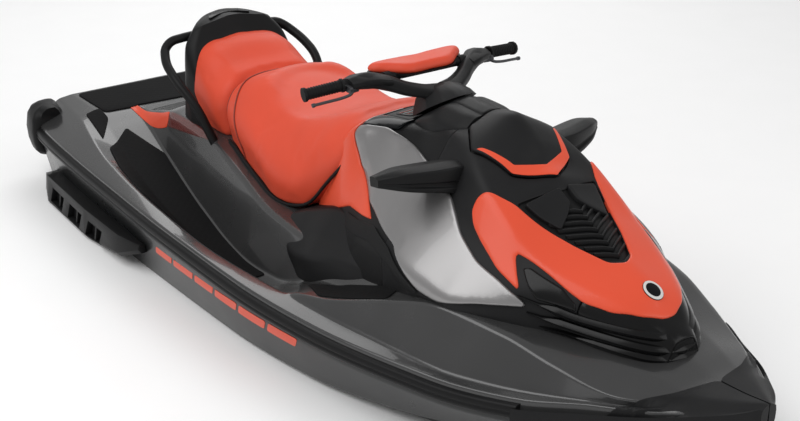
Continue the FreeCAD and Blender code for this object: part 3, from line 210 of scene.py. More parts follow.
def eased(points, radii, steps=4, closed=False):
    """Polyline with its corners rounded: steps + 1 points for each corner."""
    pts = [np.array(p, float) for p in points]
    count = len(pts)
    radii = [radii] * count if np.isscalar(radii) else radii
    made = []
    for k, corner in enumerate(pts):
        if not closed and k in (0, count - 1):
            made.append(corner)
            continue
        before = pts[k - 1] - corner
        after = pts[(k + 1) % count] - corner
        a, b = np.linalg.norm(before), np.linalg.norm(after)
        room = min(radii[k], 0.46 * a, 0.46 * b)
        first = corner + before * (room / max(a, 1e-6))
        last = corner + after * (room / max(b, 1e-6))
        for s in np.linspace(0, 1, steps + 1):
            made.append(first * (1 - s) ** 2 + 2 * corner * s * (1 - s) + last * s * s)
    return np.array(made)


def rounded(points, radii, steps=3):
    """Closed outline with its corners rounded."""
    return eased(points, radii, steps, closed=True)


def narrowing(y):
    """Share of the full section left where the craft is under 600 mm wide."""
    return min(1.0, y / 300)


def deck_outline(x):
    """Deck's outer half section from the crown to its edge under the rail."""
    y, h = along(RAIL, x)
    n = narrowing(y)
    y -= RAIL_DEPTH * n
    inner = [along(line, x) for line in (SADDLE, PEDESTAL, FLOOR_IN, FLOOR_OUT, GUNWALE)]
    crown = (-inner[1][0], inner[1][1])
    points = [crown] + inner + [(y - 6 * n, h + 34 * n), (y, h + 1)]
    soft = [0, 24, 14 * n, 12 * n, 7 * n, 10 * n, 7 * n, 0]
    line = eased(points, soft)
    return upper_half(line)


def upper_half(line):
    """The part of a section from the centre plane outwards."""
    centre = next(k for k in range(len(line)) if line[k][0] >= -1e-6)
    half = line[centre:]
    half[0][0] = 0.0
    return half


def body_outline(x, grow=13.0):
    """Front body's outer half section from the crown to its foot."""
    foot, side, edge, ridge, top = (along(line, x) for line in
                                    (BODY_FOOT, BODY_SIDE, BODY_EDGE, BODY_RIDGE, BODY_TOP))
    points = [(-ridge[0] - 0.45 * grow, ridge[1] + grow), (0, top[1] + grow),
              (ridge[0] + 0.45 * grow, ridge[1] + grow),
              (edge[0] + 0.8 * grow, edge[1] + 0.75 * grow),
              (side[0] + 0.95 * grow, side[1] + 0.2 * grow),
              (foot[0] + 0.9 * grow, foot[1])]
    return upper_half(eased(points, [0, 26, 20, 26, 40, 0], steps=6))


def under_deck(x, drop=0.0):
    """Deck's underside from its edge inwards; the hull's top lies a drop below it."""
    y, h = along(RAIL, x)
    n = narrowing(y)
    y -= RAIL_DEPTH * n
    floor = [along(line, x) for line in (FLOOR_OUT, FLOOR_IN)]
    lip = y - 34 * n
    low = [(min(a + 6 * n, lip - room * n), min(b - 12, h) - drop)
           for (a, b), room in zip(floor, (5, 12))]
    return [(lip, h - drop)] + low + [(0, low[1][1])]


def hull_outline(x):
    """Hull half section from the keel up to the rail."""
    rail, chine, strake, keel = (along(line, x) for line in (RAIL, CHINE, STRAKE, KEEL))
    n = narrowing(rail[0])
    edge = rail[0] - RAIL_DEPTH * n
    points = [(0, keel[1]), (30 * n, keel[1] + 3 * n), strake,
              (strake[0] + 22 * n, strake[1] - 4 * n), (chine[0] - 20 * n, chine[1] - 2 * n),
              chine, (edge - 4 * n, rail[1] - 40 * n), (edge, rail[1])]
    return eased(points, [0, 6, 7, 6, 7, 12, 8, 0])


class Surface:
    """A form's outer skin unrolled: u along the craft, v across it from the crown."""

    def __init__(self, x0, x1, outline, step=8.0, pitch=3.0, reach=760.0):
        self.x0, self.step, self.pitch, self.outline = x0, step, pitch, outline
        across = np.arange(0, reach, pitch)
        rows = []
        for x in np.arange(x0, x1 + step, step):
            line, arc = self.unrolled(x)
            rows.append((np.interp(across, arc, line[:, 0]), np.interp(across, arc, line[:, 1])))
        self.table = np.array(rows)

    def unrolled(self, x):
        line = np.array(self.outline(x))
        arc = np.concatenate([[0], np.cumsum(np.hypot(*np.diff(line, axis=0).T))])
        return line, arc

    def point(self, u, v):
        i = np.clip((u - self.x0) / self.step, 0, len(self.table) - 1.001)
        j = np.clip(np.abs(v) / self.pitch, 0, self.table.shape[2] - 1.001)
        i0, j0 = i.astype(int), j.astype(int)
        f, g = i - i0, j - j0
        found = []
        for axis in (0, 1):
            t = self.table[:, axis]
            found.append((t[i0, j0] * (1 - f) + t[i0 + 1, j0] * f) * (1 - g)
                         + (t[i0, j0 + 1] * (1 - f) + t[i0 + 1, j0 + 1] * f) * g)
        return np.stack([u, np.sign(v) * found[0], found[1]], axis=1)

    def place(self, u, v, depth=0.0):
        """Points at a depth under the skin, square to it."""
        u, v = np.asarray(u, float), np.asarray(v, float)
        along_u = self.point(u + 4, v) - self.point(u - 4, v)
        along_v = self.point(u, v + 4) - self.point(u, v - 4)
        normal = np.cross(along_u, along_v)
        normal /= np.maximum(np.linalg.norm(normal, axis=1, keepdims=True), 1e-9)
        return self.point(u, v) - normal * np.reshape(depth, (-1, 1))

    def edge(self, x):
        """v at the foot of the section."""
        return self.unrolled(x)[1][-1]

    def from_plan(self, points):
        """(x, y) to (u, v)."""
        made = []
        for x, y in points:
            line, arc = self.unrolled(x)
            widest = int(np.argmax(line[:, 0]))
            made.append((x, math.copysign(np.interp(abs(y), line[:widest + 1, 0],
                                                    arc[:widest + 1]), y)))
        return made

    def from_side(self, points):
        """(x, height) on the starboard side to (u, v)."""
        made = []
        for x, h in points:
            line, arc = self.unrolled(x)
            falling = np.minimum.accumulate(line[:, 1])
            made.append((x, -np.interp(-h, -falling, arc)))
        return made


BODY = Surface(8, 1384, body_outline)
DECK = Surface(-1624, 1652, deck_outline)
HULL = Surface(-1492, 1652, hull_outline)


# Meshes

def to_row(points):
    """Millimetres above the keel to metres above the waterline."""
    p = np.array(points, float) / 1000
    p[:, 2] -= DRAFT / 1000
    return p


def linked(name, data):
    """A new object in the scene."""
    obj = bpy.data.objects.new(name, data)
    bpy.context.scene.collection.objects.link(obj)
    return obj


def piece(name, points, faces, sharp=38.0, merge=0.0):
    """An object from points in millimetres and its faces."""
    mesh = bpy.data.meshes.new(name)
    mesh.from_pydata([tuple(p) for p in to_row(points)], [], [tuple(map(int, f)) for f in faces])
    obj = linked(name, mesh)
    tidy(obj, sharp, merge)
    return obj


def tidy(obj, sharp=38.0, merge=0.0):
    """Merges doubles, turns faces outwards and smooths all but the sharp edges."""
    bm = bmesh.new()
    bm.from_mesh(obj.data)
    if merge:
        bmesh.ops.remove_doubles(bm, verts=bm.verts, dist=merge)
    bmesh.ops.dissolve_degenerate(bm, dist=1e-7, edges=bm.edges)
    bmesh.ops.recalc_face_normals(bm, faces=bm.faces)
    for edge in bm.edges:
        angle = edge.calc_face_angle(0.0) if len(edge.link_faces) == 2 else 0.0
        edge.smooth = angle < math.radians(sharp)
    for face in bm.faces:
        face.smooth = True
    bm.to_mesh(obj.data)
    bm.free()


def loft(name, rows, caps=True, sharp=38.0, merge=1e-5):
    """Grid through rows of equal length, closed round each row and at both ends."""
    rows = [np.array(r, float) for r in rows]
    count = len(rows[0])
    points = np.concatenate(rows)
    faces = []
    for i in range(len(rows) - 1):
        for j in range(count):
            a, b = i * count + j, i * count + (j + 1) % count
            faces.append((a, b, b + count, a + count))
    if caps:
        faces.append(tuple(range(count)))
        faces.append(tuple(range((len(rows) - 1) * count, len(rows) * count)))
    return piece(name, points, faces, sharp, merge)


def ring_rows(stations, outline, tail=()):
    """Closed rings from half sections given as (y, height), port twin included."""
    rows = []
    for x in stations:
        half = [(x, y, h) for y, h in outline(x)]
        half += [(x, y, h) for y, h in (tail(x) if tail else ())]
        far = [(x, -y, h) for x, y, h in reversed(half) if abs(y) > 1e-6]
        rows.append(half + far)
    return rows


def join(name, objects):
    """One object from several, on the first one's material."""
    for o in bpy.context.view_layer.objects:
        o.select_set(False)
    for o in objects:
        o.select_set(True)
    bpy.context.view_layer.objects.active = objects[0]
    bpy.ops.object.join()
    objects[0].name = name
    objects[0].data.name = name
    return objects[0]


def twin(obj):
    """The piece with its port twin, mirrored over the centre plane."""
    bm = bmesh.new()
    bm.from_mesh(obj.data)
    copied = bmesh.ops.duplicate(bm, geom=bm.verts[:] + bm.edges[:] + bm.faces[:])["geom"]
    verts = [g for g in copied if isinstance(g, bmesh.types.BMVert)]
    faces = [g for g in copied if isinstance(g, bmesh.types.BMFace)]
    bmesh.ops.transform(bm, matrix=Matrix.Scale(-1, 4, (0, 1, 0)), verts=verts)
    bmesh.ops.reverse_faces(bm, faces=faces)
    bm.to_mesh(obj.data)
    bm.free()
    return obj


def evaluated(obj):
    """Mesh of the object with its modifiers or its curve's bevel."""
    graph = bpy.context.evaluated_depsgraph_get()
    return bpy.data.meshes.new_from_object(obj.evaluated_get(graph), depsgraph=graph)


def applied(obj):
    """Applies the piece's modifiers to its mesh."""
    mesh = evaluated(obj)
    obj.modifiers.clear()
    obj.data = mesh
    return obj


def cut_out(obj, cutters, sharp):
    """Subtracts the cutters and removes them."""
    for cutter in cutters:
        cut = obj.modifiers.new("Cut", "BOOLEAN")
        cut.object = cutter
        cut.operation = "DIFFERENCE"
        cut.solver = "EXACT"
        applied(obj)
        bpy.data.objects.remove(cutter)
    tidy(obj, sharp, 1e-5)


def bevelled(obj, width, angle=30.0, segments=3):
    """The piece with its edges over the angle rounded, in metres."""
    bevel = obj.modifiers.new("Rounded edges", "BEVEL")
    bevel.width = width
    bevel.segments = segments
    bevel.limit_method = "ANGLE"
    bevel.angle_limit = math.radians(angle)
    bevel.harden_normals = False
    applied(obj)
    tidy(obj, 50.0)
    return obj


def subdivided(obj, sharp=60.0):
    """The piece with one level of smooth subdivision."""
    sub = obj.modifiers.new("Smooth form", "SUBSURF")
    sub.levels = sub.render_levels = 1
    applied(obj)
    tidy(obj, sharp)
    return obj


def bar(name, points, radius, order=3, steps=12):
    """Round bar on a smooth line through the points' hull."""
    curve = bpy.data.curves.new(name, "CURVE")
    curve.dimensions = "3D"
    spline = curve.splines.new("NURBS")
    spline.points.add(len(points) - 1)
    for spot, p in zip(spline.points, to_row(points)):
        spot.co = (*p, 1)
    spline.use_endpoint_u = True
    spline.order_u = order
    spline.resolution_u = steps
    curve.bevel_depth = radius / 1000
    curve.bevel_resolution = 4
    curve.use_fill_caps = True
    obj = linked(name, curve)
    mesh = evaluated(obj)
    bpy.data.objects.remove(obj)
    made = linked(name, mesh)
    tidy(made, 50.0, 1e-5)
    return made


def traced(points, radius, step):
    """Closed outline with rounded corners and evenly spaced points."""
    line = eased(points, radius, steps=6, closed=True)
    line = np.concatenate([line, line[:1]])
    arc = np.concatenate([[0], np.cumsum(np.hypot(*np.diff(line, axis=0).T))])
    count = max(int(arc[-1] / step), 8)
    spots = np.linspace(0, arc[-1], count, endpoint=False)
    return np.stack([np.interp(spots, arc, line[:, 0]), np.interp(spots, arc, line[:, 1])], 1)


def inside(points, loop):
    """Which points lie in the closed loop."""
    x, y = points[:, 0:1], points[:, 1:2]
    x0, y0 = loop[:, 0], loop[:, 1]
    x1, y1 = np.roll(x0, -1), np.roll(y0, -1)
    crossing = (y0 > y) != (y1 > y)
    with np.errstate(divide="ignore", invalid="ignore"):
        at = (x1 - x0) * (y - y0) / (y1 - y0) + x0
    return (np.sum(crossing & (x < at), axis=1) % 2) == 1


def within(points, loops):
    """Which points lie in the first loop and in none of the others."""
    found = inside(points, loops[0])
    for hole in loops[1:]:
        found &= ~inside(points, hole)
    return found


def off_edge(points, loops):
    """Distance from each point to the nearest loop."""
    best = np.full(len(points), 1e9)
    for loop in loops:
        a, b = loop, np.roll(loop, -1, axis=0)
        run = b - a
        size = np.maximum((run ** 2).sum(1), 1e-9)
        for start in range(0, len(points), 2000):
            part = points[start:start + 2000, None, :]
            t = np.clip(((part - a) * run).sum(2) / size, 0, 1)
            gap = np.linalg.norm(part - (a + run * t[..., None]), axis=2).min(1)
            best[start:start + 2000] = np.minimum(best[start:start + 2000], gap)
    return best


def rim_lines(loops, rim):
    """Lines of points beside each loop, where the rim rounds over."""
    lines = []
    for loop in loops:
        ahead = np.roll(loop, -1, axis=0) - np.roll(loop, 1, axis=0)
        normal = np.stack([-ahead[:, 1], ahead[:, 0]], 1)
        normal /= np.maximum(np.linalg.norm(normal, axis=1, keepdims=True), 1e-9)
        area = 0.5 * np.sum(loop[:, 0] * np.roll(loop[:, 1], -1)
                            - np.roll(loop[:, 0], -1) * loop[:, 1])
        inward = math.copysign(1, area) * (1 if loop is loops[0] else -1)
        for share in RIM_SHARES:
            line = loop + normal * inward * rim * share
            lines.append(line[off_edge(line, loops) > 0.85 * rim * share])
    return lines


def panel(name, surface, outline, thick=11.0, rim=5.0, lift=0.0, holes=(), step=9.0,
          relief=None):
    """Closed panel lying on a surface, its rim rounded over, cut to an outline in (u, v)."""
    loops = [np.array(loop, float) for loop in (outline, *holes)]
    edge_count = sum(len(loop) for loop in loops)
    points = loops + rim_lines(loops, rim)
    low, high = loops[0].min(0), loops[0].max(0)
    us, vs = np.meshgrid(np.arange(low[0], high[0], step), np.arange(low[1], high[1], step))
    us[::2] += step / 2
    grid = np.stack([us.ravel(), vs.ravel()], 1)
    grid = grid[inside(grid, loops[0])]
    points.append(grid[off_edge(grid, loops) > rim + 0.6 * step])
    flat = np.concatenate(points)
    kept = np.ones(len(flat), bool)
    kept[edge_count:] = within(flat[edge_count:], loops)
    edges, start = [], 0
    for loop in loops:
        n = len(loop)
        edges += [(start + k, start + (k + 1) % n) for k in range(n)]
        start += n
    verts, _, faces, *_ = delaunay_2d_cdt([Vector(p) for p in flat[kept]], edges, [], 0, 1e-4)
    flat = np.array([tuple(v) for v in verts])
    tris = np.array([f for f in faces if len(f) == 3])
    tris = tris[within(flat[tris].mean(1), loops)]
    gap = np.minimum(off_edge(flat, loops), rim)
    drop = rim - np.sqrt(np.maximum(rim ** 2 - (rim - gap) ** 2, 0))
    if relief is not None:
        drop = drop - relief(flat[:, 0], flat[:, 1])
    top = surface.place(flat[:, 0], flat[:, 1], drop - lift)
    bottom = surface.place(flat[:, 0], flat[:, 1], np.full(len(flat), thick - lift))
    count = len(flat)
    uses = {}
    for a, b, c in tris:
        for e in ((a, b), (b, c), (c, a)):
            uses[e] = uses.get(e, 0) + 1
    faces = [tuple(t) for t in tris] + [(c + count, b + count, a + count) for a, b, c in tris]
    for (a, b) in uses:
        if (b, a) not in uses:
            faces.append((b, a, a + count, b + count))
    return piece(name, np.concatenate([top, bottom]), faces)


def whole(points):
    """Outline closed over the centre plane from its starboard half."""
    return list(points) + [(p[0], -p[1], *p[2:]) for p in reversed(points) if p[1] != 0]


def softened(node, name=None, width=0.002, segments=2, angle=28.0):
    """A CAD node's own shape with its edges rounded."""
    source = frame["nodes"][node]
    mesh = source.data.copy()
    mesh.materials.clear()
    obj = linked(name or node.replace("_", "-"), mesh)
    bm = bmesh.new()
    bm.from_mesh(mesh)
    bmesh.ops.remove_doubles(bm, verts=bm.verts, dist=1e-5)
    bmesh.ops.dissolve_limit(bm, angle_limit=math.radians(1.0), verts=bm.verts, edges=bm.edges)
    bm.to_mesh(mesh)
    bm.free()
    if width:
        bevelled(obj, width, angle, segments)
    else:
        tidy(obj, angle)
    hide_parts(node)
    return obj


def dress(obj, body, finish_name, replaces=()):
    """Gives a finished piece its finish, body and the nodes that it stands for."""
    obj.data.materials.clear()
    obj.data.materials.append(paint(finish_name))
    for p in obj.data.polygons:
        p.material_index = 0
    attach(obj, body)
    if replaces:
        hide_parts(*replaces)
    return obj


def smooth_rows(rows, count):
    """More rows between the given ones, on a monotone cubic."""
    line = [(k,) + tuple(row) for k, row in enumerate(rows)]
    return [along(line, t) for t in np.linspace(0, len(rows) - 1, count)]


def seat_outline(rows):
    """Half section of a seat at any station, from its crown down to its base."""
    lines = [[(row[0], 0, row[5]) for row in rows]]
    lines += [[(row[0],) + row[k] for row in rows] for k in (4, 3, 2)]
    lines.append([(row[0], 0, row[1]) for row in rows])

    def outline(x):
        points = [along(line, x) for line in lines]
        far = (-points[1][0], points[1][1])
        return upper_half(eased([far] + points, [0, 90, 64, 70, 14, 0], steps=8))

    return outline


def stuffed(obj, voxel, cap):
    """Remeshes the pad and swells it by cloth simulation, no point moving over the cap."""
    remesh = obj.modifiers.new("Even mesh", "REMESH")
    remesh.mode = "VOXEL"
    remesh.voxel_size = voxel
    even = obj.modifiers.new("Even form", "SMOOTH")
    even.iterations = 6
    applied(obj)
    mesh = obj.data
    rest = np.empty(len(mesh.vertices) * 3)
    mesh.vertices.foreach_get("co", rest)
    cloth = obj.modifiers.new("Stuffing", "CLOTH")
    cloth.settings.use_pressure = True
    cloth.settings.uniform_pressure_force = sizes().seat_pressure
    cloth.settings.effector_weights.gravity = 0
    cloth.point_cache.frame_start = 1
    cloth.point_cache.frame_end = CLOTH_FRAMES
    scene = bpy.context.scene
    for number in range(1, CLOTH_FRAMES + 1):
        scene.frame_set(number)
    swollen = np.empty_like(rest)
    graph = bpy.context.evaluated_depsgraph_get()
    obj.evaluated_get(graph).data.vertices.foreach_get("co", swollen)
    obj.modifiers.remove(cloth)
    scene.frame_set(1)
    moved = (swollen - rest).reshape(-1, 3)
    far = np.maximum(np.linalg.norm(moved, axis=1, keepdims=True), 1e-9)
    limited = rest.reshape(-1, 3) + moved * np.minimum(1, cap / far)
    mesh.vertices.foreach_set("co", limited.ravel())
    mesh.update()
    even = obj.modifiers.new("Taut cover", "SMOOTH")
    even.iterations = COVER_PASSES
    return applied(obj)


def laid(name, obj, path, radius, sink):
    """Round bead laid on a piece along the path, sunk into it by a share of its radius."""
    bm = bmesh.new()
    bm.from_mesh(obj.data)
    tree = BVHTree.FromBMesh(bm)
    bm.free()
    spots = []
    for p in to_row(path):
        near, normal, *_ = tree.find_nearest(Vector(p))
        x, y, z = (near + normal * (1 - sink) * radius / 1000) * 1000
        spots.append((x, y, z + DRAFT))
    return bar(name, spots, radius, steps=3)


def repeated(name, part, path, count):
    """Copies of a part spaced along a path and turned to it, by Geometry Nodes."""
    tree = bpy.data.node_groups.new(f"{name} spacing", "GeometryNodeTree")
    face = tree.interface
    face.new_socket("Path", in_out="INPUT", socket_type="NodeSocketGeometry")
    sockets = {word: face.new_socket(word, in_out="INPUT", socket_type=f"NodeSocket{kind}")
               for word, kind in (("Part", "Object"), ("Count", "Int"), ("Finish", "Material"))}
    face.new_socket("Copies", in_out="OUTPUT", socket_type="NodeSocketGeometry")
    source = add(tree, "NodeGroupInput").outputs
    curve = add(tree, "GeometryNodeMeshToCurve", {"Mesh": source["Path"]})
    spots = add(tree, "GeometryNodeCurveToPoints", {"Curve": curve.outputs["Curve"],
                                                    "Count": source["Count"]}, mode="COUNT")
    shape = add(tree, "GeometryNodeObjectInfo", {"Object": source["Part"]})
    copies = add(tree, "GeometryNodeInstanceOnPoints", {
        "Points": spots.outputs["Points"], "Instance": shape.outputs["Geometry"],
        "Rotation": spots.outputs["Rotation"]})
    real = add(tree, "GeometryNodeRealizeInstances", {"Geometry": copies.outputs["Instances"]})
    dressed = add(tree, "GeometryNodeSetMaterial", {"Geometry": real.outputs["Geometry"],
                                                    "Material": source["Finish"]})
    add(tree, "NodeGroupOutput", {"Copies": dressed.outputs["Geometry"]})
    mesh = bpy.data.meshes.new(name)
    mesh.from_pydata([tuple(p) for p in to_row(path)],
                     [(k, k + 1) for k in range(len(path) - 1)], [])
    host = linked(name, mesh)
    spread = host.modifiers.new("Spacing", "NODES")
    spread.node_group = tree
    spread[sockets["Part"].identifier] = part
    spread[sockets["Count"].identifier] = count
    spread[sockets["Finish"].identifier] = paint("Rubber")
    applied(host)
    bpy.data.objects.remove(part)
    return host


def grip_rings(start, end, radius, count):
    """Rubber rings round a grip."""
    turns = np.linspace(0, 2 * math.pi, 24, endpoint=False)
    ring = []
    for t in turns:
        ring.append([((radius + a) * math.cos(t), (radius + a) * math.sin(t), DRAFT + b)
                     for a, b in ((-1.5, -1.7), (0.8, -1.1), (0.8, 1.1), (-1.5, 1.7))])
    part = loft("ring", ring + ring[:1], caps=False)
    return repeated("Grip_rings", part, [tuple(start), tuple(end)], count)


# Finishes

MADE = {}


def add(tree, kind, inputs=None, **settings):
    """A node with its inputs linked or set."""
    node = tree.nodes.new(kind)
    for key, value in settings.items():
        setattr(node, key, value)
    for key, value in (inputs or {}).items():
        if isinstance(value, bpy.types.NodeSocket):
            tree.links.new(value, node.inputs[key])
        else:
            node.inputs[key].default_value = value
    return node


def ramp(tree, source, low, high, at=(0.35, 0.65)):
    """Colour socket that runs from low to high with the source."""
    node = add(tree, "ShaderNodeValToRGB", {"Fac": source})
    for k, (place, colour) in enumerate(zip(at, (low, high))):
        node.color_ramp.elements[k].position = place
        node.color_ramp.elements[k].color = (*colour, 1)
    return node.outputs["Color"]


def shade(colour, factor):
    """The colour made lighter or darker."""
    return tuple(c * factor for c in colour)


def finish(name, colour, rough=0.3, metal=0.0, coat=0.0, mottle=0.06, grain=0.0,
           grain_size=900.0, waves=0.0, specular=0.5, wear=0.04, pattern=None):
    """A procedural finish: mottled colour, uneven polish and a moulded or sprayed surface."""
    if name in MADE:
        return MADE[name]
    material = bpy.data.materials.new(name)
    material.use_nodes = True
    tree = material.node_tree
    shader = tree.nodes["Principled BSDF"]
    place = add(tree, "ShaderNodeTexCoord").outputs["Object"]
    broad = add(tree, "ShaderNodeTexNoise", {"Vector": place, "Scale": 5.0, "Detail": 4.0})
    fine = add(tree, "ShaderNodeTexNoise", {"Vector": place, "Scale": grain_size, "Detail": 2.0})
    tint = ramp(tree, broad.outputs["Fac"], shade(colour, 1 - mottle), shade(colour, 1 + mottle))
    tree.links.new(tint, shader.inputs["Base Color"])
    polish = add(tree, "ShaderNodeMapRange", {"Value": broad.outputs["Fac"], "From Min": 0.3,
                                              "From Max": 0.7, "To Min": max(rough - wear, 0.02),
                                              "To Max": rough + wear})
    tree.links.new(polish.outputs["Result"], shader.inputs["Roughness"])
    shader.inputs["Metallic"].default_value = metal
    shader.inputs["Specular IOR Level"].default_value = specular
    shader.inputs["Coat Weight"].default_value = coat
    shader.inputs["Coat Roughness"].default_value = 0.05
    height = fine.outputs["Fac"]
    if pattern:
        height = pattern(tree, place)
    if grain or pattern:
        bump = add(tree, "ShaderNodeBump", {"Height": height, "Strength": grain or 0.4,
                                            "Distance": 0.0006})
        if waves:
            swell = add(tree, "ShaderNodeTexNoise", {"Vector": place, "Scale": waves,
                                                     "Detail": 1.0})
            tree.links.new(add(tree, "ShaderNodeBump", {"Height": swell.outputs["Fac"],
                                                        "Strength": 0.05, "Distance": 0.002}
                               ).outputs["Normal"], bump.inputs["Normal"])
        tree.links.new(bump.outputs["Normal"], shader.inputs["Normal"])
    MADE[name] = material
    return material


def diamond_tread(tree, place):
    """Raised diamonds of the foam mats."""
    turned = add(tree, "ShaderNodeMapping", {"Vector": place, "Rotation": (0, 0, 0.785)})
    split = add(tree, "ShaderNodeSeparateXYZ", {"Vector": turned.outputs["Vector"]})
    found = []
    for axis in ("X", "Y"):
        scaled = add(tree, "ShaderNodeMath", {0: split.outputs[axis], 1: 90.0},
                     operation="MULTIPLY")
        found.append(add(tree, "ShaderNodeMath", {0: scaled.outputs[0], 1: 1.0},
                         operation="PINGPONG"))
    return add(tree, "ShaderNodeMath", {0: found[0].outputs[0], 1: found[1].outputs[0]},
               operation="MULTIPLY").outputs[0]


# Each finish: colour's name or value, its share, roughness and what else differs
FINISHES = {
    "Coral_gloss": ("coral", 1, 0.34, dict(coat=0.12, mottle=0.02, grain=0.03, waves=14,
                                           specular=0.25)),
    "Deck_gloss": ("deck", 1, 0.26, dict(metal=0.3, coat=0.5, mottle=0.05, grain=0.04,
                                         grain_size=2400, waves=10, specular=0.35)),
    "Hull_gloss": ("hull", 1, 0.3, dict(coat=0.25, mottle=0.06, grain=0.04, waves=8,
                                        specular=0.3)),
    "Silver_gloss": ("silver", 1, 0.32, dict(metal=0.6, coat=0.5, mottle=0.03, grain=0.05,
                                             grain_size=3000, waves=12)),
    "Satin_black": ("black", 0.7, 0.42, dict(mottle=0.1, grain=0.25, grain_size=1400,
                                             specular=0.14)),
    "Gloss_black": ("black", 0.4, 0.2, dict(mottle=0.05, grain=0.02, waves=16, specular=0.2)),
    "Charcoal_moulding": ("black", 1.1, 0.42, dict(mottle=0.08, grain=0.22, grain_size=1500,
                                                   specular=0.12)),
    "Foam_mat": ("black", 0.6, 0.8, dict(mottle=0.12, specular=0.1, grain=0.9,
                                         pattern=diamond_tread)),
    "Rubber": ("black", 0.8, 0.6, dict(mottle=0.12, specular=0.15, grain=0.5, grain_size=700)),
    "Seat_vinyl": ("vinyl", 1, 0.46, dict(mottle=0.035, grain=0.22, grain_size=650,
                                          specular=0.25, wear=0.06)),
    "Seam_vinyl": ("vinyl", 0.32, 0.5, dict(mottle=0.05, grain=0.2)),
    "Cast_metal": ((0.46, 0.47, 0.48), 1, 0.32, dict(metal=1.0, mottle=0.08, grain=0.2,
                                                     grain_size=600)),
    "Coated_metal": ((0.05, 0.05, 0.055), 1, 0.4, dict(metal=0.4, mottle=0.1, grain=0.2)),
    "Mirror_glass": ((0.86, 0.88, 0.9), 1, 0.03, dict(metal=1.0, mottle=0.01, wear=0.01)),
    "Screen_glass": ((0.005, 0.006, 0.007), 1, 0.16, dict(mottle=0.2, wear=0.02,
                                                          specular=0.12)),
    "Dark_red_gloss": ("oxide", 1, 0.25, dict(coat=0.6, mottle=0.04, grain=0.03)),
    "Pale_print": ((0.62, 0.62, 0.6), 1, 0.35, dict(mottle=0.05, grain=0.05)),
}


def paint(name):
    """The named finish of the table."""
    colour, share, rough, more = FINISHES[name]
    if isinstance(colour, str):
        colour = getattr(colours(), colour)
    return finish(name, shade(colour, share), rough, **more)


# Panel outlines, in plan (x, y) or from the side (x, height)

LID = whole([(592, 0), (592, -88), (680, -150), (800, -104), (868, 0)])
GRILLE = whole([(905, 0), (872, -142), (940, -124), (1040, -82), (1118, -44), (1140, 0)])
HOOD = whole([(1150, 0), (1128, -40), (1042, -84), (936, -126), (866, -150), (806, -186),
              (780, -208), (780, -226), (806, -242), (852, -252), (933, -262), (1018, -254),
              (980, -233), (952, -214), (992, -200), (1036, -191), (1112, -176), (1166, -162),
              (1235, -124), (1291, -72), (1316, -22), (1318, 0)])
INSERT = [(990, 731), (1008, 735), (1104, 705), (1150, 676), (1158, 656), (1064, 669)]
WING = [(172, 878), (220, 889), (300, 900), (380, 894), (476, 882), (584, 865), (684, 832),
        (736, 800), (788, 765), (876, 721), (952, 697), (1028, 664), (1046, 646), (936, 634),
        (828, 610), (760, 614), (700, 640), (600, 688), (484, 709), (372, 726), (248, 784),
        (204, 832)]
TRIM = [(12, 500), (12, 700), (150, 890), (172, 878), (204, 832), (248, 784), (372, 726),
        (440, 700), (260, 668), (100, 590)]
GLOVE = whole([(190, 0), (190, -98), (322, -98), (322, 0)])


# Seat stations: x, base height, then (y, height) of the low, middle and top corner, crown
FRONT_SEAT = [(-614, 590, (190, 590), (210, 720), (165, 792), 800),
              (-540, 580, (208, 580), (236, 725), (176, 826), 838),
              (-440, 560, (230, 560), (256, 720), (178, 848), 860),
              (-300, 550, (258, 550), (284, 690), (190, 828), 842),
              (-150, 540, (285, 540), (306, 665), (202, 804), 824),
              (-20, 556, (264, 556), (294, 662), (196, 832), 850),
              (40, 608, (250, 608), (270, 704), (190, 856), 876),
              (100, 680, (238, 680), (250, 752), (180, 874), 894),
              (150, 745, (222, 745), (230, 800), (168, 880), 900),
              (176, 790, (196, 790), (202, 834), (146, 874), 890)]
REAR_SEAT = [(-915, 590, (160, 590), (178, 740), (140, 862), 885),
             (-885, 590, (180, 590), (204, 760), (172, 868), 903),
             (-800, 590, (190, 590), (216, 760), (178, 858), 886),
             (-700, 590, (196, 590), (220, 740), (172, 822), 830),
             (-615, 590, (190, 590), (210, 720), (165, 792), 800)]

# Fittings: each list's points in millimetres, heights above the keel, starboard side
ARM = [(352, 8, 1004, 34, 22), (345, 45, 1006, 36, 22), (318, 100, 1016, 32, 24),
       (282, 150, 1034, 34, 26), (252, 200, 1044, 38, 26), (240, 246, 1040, 26, 20)]
SHROUD = [(286, 150, 1046, 30, 13), (262, 190, 1052, 42, 14), (246, 226, 1050, 40, 14),
          (236, 258, 1043, 28, 13)]
HUB = [(-8, [(-55, 0), (-55, -80), (38, -84), (96, -62), (126, -26), (130, 0)]),
       (14, [(-50, 0), (-50, -72), (34, -76), (86, -54), (108, -24), (112, 0)]),
       (40, [(-40, 0), (-40, -60), (28, -60), (62, -42), (74, -18), (76, 0)]),
       (54, [(-26, 0), (-26, -46), (20, -46), (44, -30), (54, -12), (56, 0)])]
RAKE = math.radians(32)
COLUMN_TOP = (352, 958)
PAD_LEVELS = [(1052, [(198, 0), (194, -158), (208, -172), (231, -162), (294, -91), (304, -69),
                      (304, 0)]),
              (1064, [(196, 0), (192, -160), (206, -174), (232, -164), (296, -92), (306, -70),
                      (306, 0)]),
              (1077, [(207, 0), (204, -151), (213, -161), (231, -151), (285, -87), (293, -65),
                      (293, 0)])]
COWL = [(330, [(0, 880), (98, 880), (98, 912), (64, 926), (0, 930)]),
        (392, [(0, 880), (114, 880), (104, 944), (62, 966), (0, 968)]),
        (470, [(0, 890), (124, 890), (110, 966), (68, 1000), (0, 1008)]),
        (545, [(0, 910), (120, 910), (104, 968), (70, 998), (0, 1006)]),
        (590, [(0, 930), (96, 930), (90, 974), (60, 996), (0, 1001)])]
